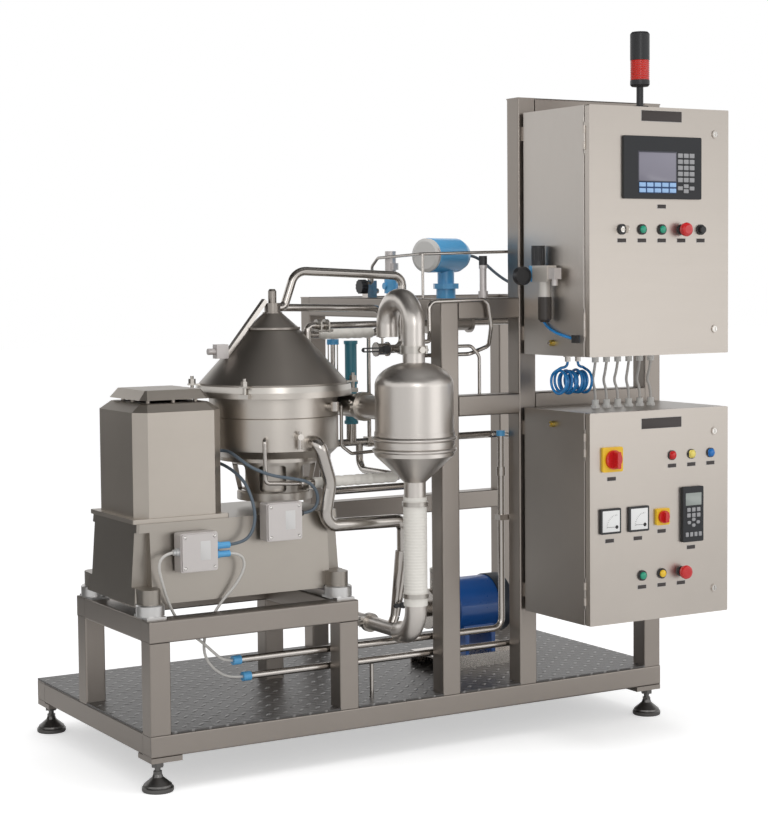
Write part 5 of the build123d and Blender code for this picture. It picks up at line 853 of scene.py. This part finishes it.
# How far a sleeve's bore lies inside the piece that it covers
HIDDEN = 0.0001


class Axis(Enum):
    """Which way a turned form's height goes."""

    ALONG = "along the skid"
    OUT = "out of a door"
    UP = "up"


class Surface:
    """Grids of points gathered into one mesh."""

    def __init__(self, name: str) -> None:
        """Starts an empty surface."""
        self.name = name
        self.points: list[np.ndarray] = []
        self.faces: list[list[int]] = []
        self.looks: list[int] = []
        self.count = 0

    def grid(self, rows: np.ndarray, look: int = 0, looped: bool = False) -> None:
        """Adds rings of points, each joined to the next.

        Args:
            rows: rings in metres from the skid's corner, of shape (rings, points, 3).
            look: which of the surface's materials the rings take.
            looped: joins the last ring to the first, where otherwise both are filled.
        """
        rings, around, _ = rows.shape
        index = np.arange(rings * around).reshape(rings, around) + self.count
        ends = [] if looped else [index[0][::-1].tolist(), index[-1].tolist()]
        if looped:
            index = np.concatenate([index, index[:1]])
        beside = np.roll(index, -1, axis=1)
        quads = np.stack([index[:-1], beside[:-1], beside[1:], index[1:]], axis=-1)
        faces = quads.reshape(-1, 4).tolist() + ends
        self.points.append(rows.reshape(-1, 3) - [*SKID_CORNER, 0.0])
        self.faces += faces
        self.looks += [look] * len(faces)
        self.count += rings * around

    def slab(self, x: float, z: float, wide: float, high: float, levels: Range, look: int = 0,
             corner: float = 0.0015) -> None:
        """Adds a flat plate parallel to the doors, its front edge broken by a small bevel.

        Args:
            x: its middle along the door.
            z: its middle's height.
            wide: its width.
            high: its height.
            levels: y of its back and of its front.
            look: which of the surface's materials it takes.
            corner: its corner radius.
        """
        bevel = min(SLAB_BEVEL, abs(levels[1] - levels[0]) / 2)
        rings = []
        for cut, y in ((0.0, levels[0]), (0.0, levels[1] + bevel), (bevel, levels[1])):
            outline = rounded_outline(wide - 2 * cut, high - 2 * cut, corner) + [x, z]
            rings.append(np.insert(outline, 1, y, axis=1))
        self.grid(np.array(rings), look)

    def turned(self, centre: Point, axis: Axis, profile: np.ndarray, look: int = 0, around: int = 40,
               looped: bool = False) -> None:
        """Adds a turned form: each profile point's radius goes round the axis, its height along it.

        Args:
            centre: where the axis starts.
            axis: which way its height goes.
            profile: radius and height pairs, of shape (points, 2).
            look: which of the surface's materials it takes.
            around: points in a ring.
            looped: whether the profile ends where it starts.
        """
        angle = np.linspace(0.0, 2 * math.pi, around, endpoint=False)
        circle = np.stack([np.cos(angle), np.sin(angle)], axis=-1)
        flat = profile[:, None, :1] * circle
        height = np.broadcast_to(profile[:, 1][:, None], flat.shape[:2])
        if axis is Axis.ALONG:
            rings = np.stack([height, flat[..., 0], flat[..., 1]], axis=-1)
        elif axis is Axis.OUT:
            rings = np.stack([flat[..., 0], -height, flat[..., 1]], axis=-1)
        else:
            rings = np.stack([flat[..., 0], flat[..., 1], height], axis=-1)
        self.grid(rings + centre, look, looped)

    def sleeve(self, centre: Point, axis: Axis, outer: np.ndarray, bore: float, around: int) -> None:
        """Adds a turned wall: its outer profile, closed by a straight bore from end to end.

        Args:
            centre: where the axis starts.
            axis: which way its height goes.
            outer: radius and height pairs, of shape (points, 2).
            bore: the bore's radius.
            around: points in a ring.
        """
        inner = np.column_stack([np.full(2, bore), outer[[-1, 0], 1]])
        self.turned(centre, axis, np.concatenate([outer, inner]), 0, around, looped=True)

    def build(self, body: str, slot: str, looks: list[bpy.types.Material]) -> bpy.types.Object:
        """Makes the object.

        Args:
            body: the CAD body that it rides on.
            slot: the name of a record's material slot; not used.
            looks: its materials, in the order of the looks.

        Returns:
            The object, at the origin, with its faces turned outwards.
        """
        mesh = bpy.data.meshes.new(self.name)
        mesh.from_pydata(np.concatenate(self.points).tolist(), [], self.faces)
        for look in looks:
            mesh.materials.append(look)
        mesh.polygons.foreach_set("material_index", np.array(self.looks, np.int32))
        mesh.polygons.foreach_set("use_smooth", np.ones(len(self.faces), bool))
        shell = bmesh.new()
        shell.from_mesh(mesh)
        bmesh.ops.recalc_face_normals(shell, faces=shell.faces)
        shell.to_mesh(mesh)
        shell.free()
        mesh.set_sharp_from_angle(angle=SMOOTH_ANGLE)
        made = new_object(self.name, mesh)
        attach(made, body)
        LOG.info("piece %s, %d faces", self.name, len(self.faces))
        return made


@dataclass
class LabelPlates:
    """The small dark plates under the controls and the two long ones, all left blank."""

    small: Range = (0.032, 0.012)
    long: Range = (0.146, 0.031)
    rim: float = 0.0016
    thick: float = 0.0012
    rim_share: float = 0.6
    corners: Range = (0.0008, 0.0006)
    upper_title: float = 0.675
    screen_row: float = 0.421
    upper_buttons: float = 0.325
    lower_title: float = 0.563
    lamp_row: float = 0.438
    switch_spot: Range = (0.075, 0.413)
    keypad_spot: Range = (0.362, 0.197)
    meter_row: float = 0.238
    meters_x: Range = (0.068, 0.168)
    selector_row: float = 0.252
    lower_buttons: float = 0.097

    def _plate(self, surface: Surface, x: float, z: float, size: Range) -> None:
        """Adds one plate: a dark face on a pale rim.

        Args:
            surface: what it is added to.
            x: its middle along the door.
            z: its middle's height.
            size: its width and height.
        """
        wide, high = size
        rim_front, front = DOOR_FACE - self.thick * self.rim_share, DOOR_FACE - self.thick
        surface.slab(x, z, wide, high, (DOOR_FACE, rim_front), 1, self.corners[0])
        surface.slab(x, z, wide - self.rim, high - self.rim, (DOOR_FACE, front), 0, self.corners[1])

    def build(self, looks: list[bpy.types.Material]) -> None:
        """Puts the plates on both doors.

        Args:
            looks: the dark face's and the rim's material.
        """
        upper = Surface("upper_label_plates")
        self._plate(upper, control_x(2), UPPER_Z + self.upper_title, self.long)
        self._plate(upper, control_x(2), UPPER_Z + self.screen_row, self.small)
        for index in range(5):
            self._plate(upper, control_x(index), UPPER_Z + self.upper_buttons, self.small)
        upper.build("upper_door", "black_plastic", looks)
        lower = Surface("lower_label_plates")
        self._plate(lower, control_x(2), LOWER_Z + self.lower_title, self.long)
        spots = [(LAMP_X + CONTROL_PITCH * index, self.lamp_row) for index in range(3)]
        spots += [self.switch_spot, self.keypad_spot]
        spots += [(x, self.meter_row) for x in self.meters_x]
        spots += [(control_x(2) - CABINET_X, self.selector_row)]
        spots += [(control_x(index) - CABINET_X, self.lower_buttons) for index in (1, 2, 3)]
        for x, z in spots:
            self._plate(lower, CABINET_X + x, LOWER_Z + z, self.small)
        lower.build("lower_door", "black_plastic", looks)


@dataclass
class OperatorFace:
    """The operator panel's screen, function keys, number keys and arrow cross.

    Each rectangle is left, top, right and low edge, measured from the panel's top left corner.
    """

    wide: float = 0.280
    high: float = 0.176
    middle: float = 0.530
    front: float = -0.338
    trim: tuple = (0.049, 0.042, 0.189, 0.129)
    screen: tuple = (0.053, 0.046, 0.185, 0.1255)
    field: tuple = (0.053, 0.1275, 0.187, 0.160)
    field_rise: float = 0.0008
    screen_rise: float = 0.0012
    key_rise: float = 0.0022
    blue_key: Range = (0.0225, 0.0115)
    blue_left: float = 0.0535
    blue_pitch: float = 0.0272
    blue_rows: Range = (0.1305, 0.1465)
    grey_key: Range = (0.0172, 0.0125)
    grey_first: Range = (0.192, 0.0465)
    grey_pitch: Range = (0.0212, 0.0172)
    arrow_key: Range = (0.0172, 0.011)
    arrows: tuple = ((0.192, 0.1395), (0.2132, 0.1335), (0.2132, 0.1475), (0.2344, 0.1395))

    def _spot(self, left: float, top: float, right: float, low: float) -> tuple:
        """Turns a rectangle of the panel into its middle and size.

        Args:
            left: its left edge.
            top: its top edge.
            right: its right edge.
            low: its low edge.

        Returns:
            Middle along the door, middle's height, width and height.
        """
        x = control_x(2) - self.wide / 2
        z = UPPER_Z + self.middle + self.high / 2
        return x + (left + right) / 2, z - (top + low) / 2, right - left, low - top

    def build(self, looks: list[bpy.types.Material]) -> None:
        """Builds the face.

        Args:
            looks: the screen's, blue keys', grey keys', blue field's and trim's material.
        """
        face = Surface("operator_face")
        flat = (self.front, self.front - self.field_rise)
        face.slab(*self._spot(*self.trim), flat, 4)
        face.slab(*self._spot(*self.screen), (self.front, self.front - self.screen_rise), 0)
        face.slab(*self._spot(*self.field), flat, 3)
        keys = [(self.blue_left + self.blue_pitch * column, top, self.blue_key, 1)
                for top in self.blue_rows for column in range(5)]
        keys += [(self.grey_first[0] + self.grey_pitch[0] * column,
                  self.grey_first[1] + self.grey_pitch[1] * row, self.grey_key, 2)
                 for row in range(5) for column in range(3)]
        keys += [(left, top, self.arrow_key, 2) for left, top in self.arrows]
        for left, top, (wide, high), look in keys:
            spot = self._spot(left, top, left + wide, top + high)
            face.slab(*spot, (self.front, self.front - self.key_rise), look)
        face.build("upper_door", "panel_black", looks)


@dataclass
class LowerFaces:
    """The faces of the two panel meters and of the drive keypad."""

    meters_x: Range = (0.068, 0.168)
    row: float = 0.294
    dial: float = 0.060
    dial_front: float = -0.338
    dial_rise: float = 0.0008
    pivot: Range = (0.019, -0.017)
    ticks: int = 11
    tick_radius: float = 0.036
    tick: Range = (0.004, 0.0007)
    needle_short: Range = (0.002, 0.001)
    needle_thick: float = 0.0009
    ink_rises: Range = (0.0006, 0.0011)
    screw: tuple = ((0.005, 0.0), (0.005, 0.002), (0.0042, 0.0028))
    keypad_x: float = 0.362
    keypad_front: float = -0.342
    display: tuple = (0.0, 0.044, 0.058, 0.036)
    display_rise: float = 0.0009
    key_rise: float = 0.002
    key: Range = (0.0125, 0.0115)
    key_pitch: Range = (0.018, 0.016)
    key_row: float = 0.0135
    cross_key: Range = (0.0125, 0.0095)
    cross_middle: float = -0.0235
    cross_reach: Range = (0.0165, 0.00837)
    cross_corner: float = 0.004
    foot_key: Range = (0.0105, 0.0125)
    foot_row: Range = (-0.024, -0.058)
    foot_pitch: float = 0.016

    def build(self, looks: list[bpy.types.Material]) -> None:
        """Builds both.

        Args:
            looks: the dial's, ink's, keypad display's and keys' material.
        """
        face = Surface("meter_faces")
        z = LOWER_Z + self.row
        for meter in self.meters_x:
            x = CABINET_X + meter
            face.slab(x, z, self.dial, self.dial, (self.dial_front, self.dial_front - self.dial_rise), 0)
            self._scale(face, x, z)
        face.build("lower_door", "panel_black", looks[:2])
        self._keypad(looks)

    def _scale(self, face: Surface, x: float, z: float) -> None:
        """A quarter scale round the lower right corner, its needle at rest on zero, and the zero screw.

        Args:
            face: the surface that it goes on.
            x: the dial's middle along the door.
            z: the dial's middle height.
        """
        pivot = np.array([x, z]) + self.pivot
        for turn in np.linspace(math.pi, math.pi / 2, self.ticks):
            way = np.array([math.cos(turn), math.sin(turn)])
            inner = pivot + way * (self.tick_radius - self.tick[0])
            self._stroke(face, inner, pivot + way * self.tick_radius, self.tick[1])
        tip = pivot + self.needle_short - [self.tick_radius, 0.0]
        self._stroke(face, pivot, tip, self.needle_thick)
        place = (pivot[0], self.dial_front, pivot[1])
        face.turned(place, Axis.OUT, np.array(self.screw), 1, 20)

    def _stroke(self, face: Surface, start: np.ndarray, end: np.ndarray, thick: float) -> None:
        """A thin bar from start to end: two ends moved sideways by half its thickness.

        Args:
            face: the surface that it goes on.
            start: where it starts, along the door and up.
            end: where it ends.
            thick: its thickness.
        """
        way = (end - start) / np.linalg.norm(end - start)
        side = np.array([-way[1], way[0]]) * thick / 2
        outline = np.array([start - side, end - side, end + side, start + side])
        rows = [np.insert(outline, 1, self.dial_front - rise, axis=1) for rise in self.ink_rises]
        face.grid(np.array(rows), 1)

    def _keypad(self, looks: list[bpy.types.Material]) -> None:
        """The drive keypad: display, six keys, a cross of four and a row of four.

        Args:
            looks: as for build().
        """
        face = Surface("drive_keypad_face")
        x, z = CABINET_X + self.keypad_x, LOWER_Z + self.row
        across, up, wide, high = self.display
        glass = (self.keypad_front, self.keypad_front - self.display_rise)
        levels = (self.keypad_front, self.keypad_front - self.key_rise)
        face.slab(x + across, z + up, wide, high, glass, 0)
        for row in range(2):
            for column in (-1, 0, 1):
                up = self.key_row - self.key_pitch[1] * row
                face.slab(x + self.key_pitch[0] * column, z + up, *self.key, levels, 1)
        for across, up in ((-1, 0), (1, 0), (0, 1), (0, -1)):
            face.slab(x + self.cross_reach[0] * across, z + self.cross_middle + self.cross_reach[1] * up,
                      *self.cross_key, levels, 1, self.cross_corner)
        for column in range(4):
            left = self.foot_row[0] + self.foot_pitch * column
            face.slab(x + left, z + self.foot_row[1], *self.foot_key, levels, 1)
        face.build("lower_door", "panel_black", looks[2:4])


@dataclass
class Domes:
    """The domed caps of the four push buttons."""

    caps: tuple = (("left_start_button", "green_plastic"), ("right_start_button", "green_plastic"),
                   ("green_button", "green_plastic"), ("yellow_button", "yellow_plastic"))
    radius: float = 0.0104
    rise: float = 0.0048
    sink: float = 0.0004
    steps: int = 8

    def build(self, materials: dict[str, bpy.types.Material]) -> None:
        """Sets a cap on each button: a quarter of an ellipse turned round, left flat at its middle.

        Args:
            materials: finished materials by name.
        """
        angle = np.linspace(0.0, math.pi / 2, self.steps)
        profile = np.column_stack([self.radius * np.cos(angle), self.rise * np.sin(angle)])[:-1]
        for node, look in self.caps:
            low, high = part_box(node)
            centre = ((low[0] + high[0]) / 2 + SKID_CORNER[0], low[1] + SKID_CORNER[1] + self.sink,
                      (low[2] + high[2]) / 2)
            cap = Surface(f"{node}_dome")
            cap.turned(centre, Axis.OUT, profile)
            cap.build(node, look, [materials[look]])


@dataclass
class Beacon:
    """The stack light's ribbed lens, a sleeve over the plain one."""

    centre: Range = (1.449, -0.232)
    low: float = 1.9205
    high: float = 1.9765
    ribs: int = 9
    rib_steps: int = 8
    radius: float = 0.0272
    depth: float = 0.0009

    def build(self, look: bpy.types.Material) -> None:
        """Builds the lens: the radius swells by the square of the sine along each rib.

        Args:
            look: its material.
        """
        z = np.linspace(self.low, self.high, self.ribs * self.rib_steps + 1)
        wave = np.sin((z - self.low) / (self.high - self.low) * math.pi * self.ribs) ** 2
        outer = np.column_stack([self.radius + self.depth * wave, z])
        lens = Surface("beacon_lens")
        lens.sleeve((*self.centre, 0.0), Axis.UP, outer, self.radius - HIDDEN, 64)
        lens.build("skid", "red_plastic", [look])


CYCLONE_CENTRE = (0.796, -0.045, 0.0)


@dataclass
class RibbedHose:
    """The cream drain hose under the cyclone, with moulded rings and smooth cuffs."""

    low: float = 0.437
    high: float = 0.745
    radius: float = 0.034
    wall: float = 0.004
    depth: float = 0.0008
    pitch: float = 0.0085
    cuff: float = 0.042
    steps: int = 260

    def build(self, look: bpy.types.Material) -> None:
        """Builds the hose: between the cuffs the radius falls by the depth times a raised cosine.

        Args:
            look: its material.
        """
        z = np.linspace(self.low, self.high, self.steps)
        inner_z = np.clip(z, self.low + self.cuff, self.high - self.cuff)
        ring = 0.5 - 0.5 * np.cos((inner_z - self.low - self.cuff) / self.pitch * 2 * math.pi)
        outer = np.column_stack([self.radius - self.depth * ring, z])
        hose = Surface("ribbed_hose")
        hose.sleeve(CYCLONE_CENTRE, Axis.UP, outer, self.radius - self.wall, 72)
        made = hose.build("skid", "hose_white", [look])
        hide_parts("drain_hose")


@dataclass
class CycloneBands:
    """The two rolled rings that stand out round the cyclone's barrel."""

    heights: Range = (0.879, 0.911)
    radius: float = 0.1105
    stand: float = 0.0092
    half: float = 0.0066
    root: float = 0.0015
    steps: int = 13

    def build(self, look: bpy.types.Material) -> None:
        """Builds both: half an ellipse turned round the cyclone's axis, closed just inside its wall.

        Args:
            look: their material.
        """
        angle = np.linspace(-math.pi / 2, math.pi / 2, self.steps)
        radius = self.radius + self.stand * np.cos(angle)
        bands = Surface("cyclone_bands")
        for height in self.heights:
            outer = np.column_stack([radius, height + self.half * np.sin(angle)])
            bands.sleeve(CYCLONE_CENTRE, Axis.UP, outer, self.radius - self.root, 96)
        bands.build("skid", "polished_steel", [look])


@dataclass
class FilmSleeves:
    """The cream protective film that is still wrapped round two of the pipes.

    Each run is the left end, the right end, y and z of the pipe that it covers.
    """

    runs: tuple = ((0.551, 0.823, 0.102, 0.787), (0.672, 0.858, 0.2904, 1.199))
    bore: float = 0.0112
    radius: float = 0.0152
    rumple: float = 0.0006
    waves: Range = (310.0, 173.0)
    end: float = 0.006
    steps: int = 90

    def build(self, look: bpy.types.Material) -> None:
        """Builds both: two sines ripple the radius along the pipe, and it falls to the pipe's at each end.

        Args:
            look: their material.
        """
        sleeves = Surface("film_sleeves")
        for left, right, y, z in self.runs:
            x = np.linspace(left, right, self.steps)
            near = np.clip(np.minimum(x - left, right - x) / self.end, 0.0, 1.0)
            ripple = self.rumple * sum(np.sin(x * wave) for wave in self.waves)
            radius = self.bore + (self.radius + ripple - self.bore) * np.sqrt(near)
            sleeves.sleeve((0.0, y, z), Axis.ALONG, np.column_stack([radius, x]), self.bore - HIDDEN, 40)
        sleeves.build("skid", "hose_white", [look])


@dataclass
class JunctionLids:
    """The blank labels and the lid screws of the two cast boxes."""

    centres: tuple = ((0.167, 0.629), (0.426, 0.693))
    front: float = 0.035
    label: Range = (0.030, 0.052)
    label_spot: Range = (0.016, 0.004)
    label_rise: float = 0.0004
    screw_spot: Range = (0.044, 0.042)
    screw: tuple = ((0.0042, -0.0008), (0.0042, 0.0009), (0.0032, 0.0016))

    def build(self, looks: list[bpy.types.Material]) -> None:
        """Builds both lids' trim.

        Args:
            looks: the label's and the screws' material.
        """
        trim = Surface("junction_lid_trim")
        levels = (self.front + self.label_rise, self.front - self.label_rise)
        for x, z in self.centres:
            trim.slab(x + self.label_spot[0], z + self.label_spot[1], *self.label, levels, 0)
            for across in (-1, 1):
                for up in (-1, 1):
                    place = (x + across * self.screw_spot[0], self.front, z + up * self.screw_spot[1])
                    trim.turned(place, Axis.OUT, np.array(self.screw), 1, 16)
        trim.build("skid", "box_aluminium", looks)


LENS_ROW = 0.468
LENS_HALF = 0.0115
LENS_GLOSS = 0.15
LENS_Y = (-0.36, -0.3343)
PLATE_Y = (-0.36, -0.3301)
STUD_X = (1.18, 1.1951)
STUD_Y = (-0.18, -0.135)


def lens(index: int, colour: Colour) -> Patch:
    """Colours the lens of one pilot lamp on the lower door.

    Args:
        index: the lamp's number, from the left.
        colour: the lens's colour.

    Returns:
        The coloured box.
    """
    x, z = CABINET_X + LAMP_X + CONTROL_PITCH * index, LOWER_Z + LENS_ROW
    across, up = (x - LENS_HALF, x + LENS_HALF), (z - LENS_HALF, z + LENS_HALF)
    return patch(across, LENS_Y, up, colour, roughness=LENS_GLOSS)


SMOOTH_STEEL = steel("smooth_steel", (0.68, 0.64, 0.6), 0.33, Grain.SATIN, 0.012, 0.05)

NODE_FINISHES = {
    "cyclone": SMOOTH_STEEL,
    "vent_bend": SMOOTH_STEEL,
    "solids_pipes": SMOOTH_STEEL,
    # The hood and the bowl casing are one steel: the hood's darker colour is painted shade, the casing's
    # lighter colour is painted light.
    "separator_hood": steel("hood_steel_painted_shade", (0.34, 0.31, 0.28), 0.36, Grain.SATIN, 0.1, 0.1),
    "bowl_casing": steel("casing_steel_painted_light", (0.56, 0.52, 0.475), 0.33, Grain.TURNED, 0.08, 0.08),
    "machine_base": steel("base_steel", (0.36, 0.33, 0.295), 0.36, Grain.SATIN, 0.12, 0.1),
    # The two cabinets are one steel: the upper cabinet's lighter colour is painted light, the lower
    # cabinet's darker colour is painted shade.
    "upper_cabinet": steel("upper_cabinet_steel_painted_light", (0.58, 0.54, 0.5), 0.4, Grain.ALONG_Z, 0.06, 0.07),
    "lower_cabinet": steel("lower_cabinet_steel_painted_shade", (0.39, 0.36, 0.33), 0.36, Grain.ALONG_Z, 0.07, 0.07),
    "lower_door_fittings": Finish("lower_fittings", BLACK, 0.34, grain=Grain.MOULDED, relief=0.08, patches=(
        # The yellow plates behind the main switch and the selector, and the three lenses
        patch((1.2345, 1.3055), PLATE_Y, (0.8105, 0.8815), YELLOW),
        patch((1.4245, 1.4735), PLATE_Y, (0.6475, 0.6965), YELLOW),
        lens(0, RED),
        lens(1, AMBER),
        lens(2, DEEP_BLUE),
    )),
    "instruments": Finish("instruments", BLUE, 0.34, grain=Grain.CAST, relief=0.2, coat=0.35, patches=(
        # The flow tube and the level indicator
        patch((1.003, 1.172), (0.195, 0.265), (1.185, 1.262), STEEL, 1.0, 0.3),
        patch((0.79, 0.846), (0.32, 0.385), (0.92, 1.18), TEAL),
        # The air unit's body and the neck of its bowl
        patch((1.14, 1.2), (-0.19, -0.117), (1.34, 1.4), CAST_GREY, 0.5, 0.4),
        patch((1.14, 1.192), (-0.18, -0.128), (1.29, 1.347), NECK_GREY, 0.4, 0.45),
        # The glands at the motor cover, at both junction boxes, at the air feed and at the cabinet's back
        patch((0.28, 0.3), (0.18, 0.26), (0.83, 0.905), BLACK),
        patch((0.09, 0.1119), (0.04, 0.075), (0.61, 0.65), PALE, 0.6),
        patch((0.4811, 0.502), (0.05, 0.085), (0.69, 0.73), BLACK),
        patch((1.18, 1.1949), (-0.29, -0.255), (1.165, 1.205), BLACK),
        patch((1.26, 1.30), (-0.012, 0.012), (1.30, 1.36), BLACK),
    )),
    "junction_boxes": Finish("junction_boxes", BOX_GREY, 0.42, 0.6, Grain.CAST, 0.2, 0.06, patches=(
        # The air unit's bowl and gauge, and the plug of the sender on the rail
        patch((1.14, 1.1899), (-0.18, -0.13), (1.225, 1.3029), SMOKE),
        patch((1.09, 1.15), (-0.122, -0.09), (1.33, 1.395), BLACK),
        patch((1.05, 1.11), (0.0, 0.06), (1.395, 1.43), BLACK),
        # The glands between the cabinets, and the transmitter's lid
        patch((1.32, 1.57), (-0.19, -0.13), (0.97, 1.14), NYLON),
        patch((0.95, 1.03), (0.15, 0.31), (1.36, 1.49), CAP_GREY),
    )),
    "process_pipes": Finish("process_pipes", PIPE, 0.2, 1.0, Grain.SATIN, 0.04, 0.07, patches=(
        # The earth studs of both cabinets
        patch(STUD_X, STUD_Y, (1.15, 1.195), BRASS, 1.0),
        patch(STUD_X, STUD_Y, (0.915, 0.96), BRASS, 1.0),
    )),
}


class Dresser:
    """Gives every CAD node its material."""

    def __init__(self, effects: Effects) -> None:
        """Builds the materials of all the finishes."""
        self.effects = effects
        self.materials = {name: finish.material(effects) for name, finish in FINISHES.items()}

    def dress(self, own: dict[str, Finish]) -> None:
        """Assigns the materials.

        Args:
            own: finishes of the nodes that have one of their own; the rest take their slot's.
        """
        slots = {row["node"]: row["material_slot"] for row in frame["record"]["subparts"]}
        for name, node in frame["nodes"].items():
            finish = own.get(name)
            made = finish.material(self.effects) if finish else self.materials[slots[name]]
            node.data.materials.clear()
            node.data.materials.append(made)
            LOG.info("node %s is %s", name, made.name)


def main() -> None:
    """Builds the studio, the cords, the finishes and the added pieces, in that order."""
    logging.basicConfig(level=logging.INFO, format="%(name)s: %(message)s")
    Studio().build()
    effects = Effects()
    dresser = Dresser(effects)
    Cabling().build(dresser.materials)
    dresser.dress(NODE_FINISHES)
    looks = dresser.materials
    LabelPlates().build([looks["label_face"], looks["label_rim"]])
    panel = ("screen", "blue_keys", "grey_keys", "blue_field", "screen_trim")
    OperatorFace().build([looks[name] for name in panel])
    LowerFaces().build([looks[name] for name in ("dial_white", "dial_ink", "display", "grey_keys")])
    Domes().build(looks)
    Beacon().build(looks["red_lens"])
    RibbedHose().build(looks["hose_white"])
    CycloneBands().build(SMOOTH_STEEL.material(effects))
    FilmSleeves().build(looks["film"])
    JunctionLids().build([looks["label_white"], looks["nickel"]])


if __name__ == "__main__":
    main()
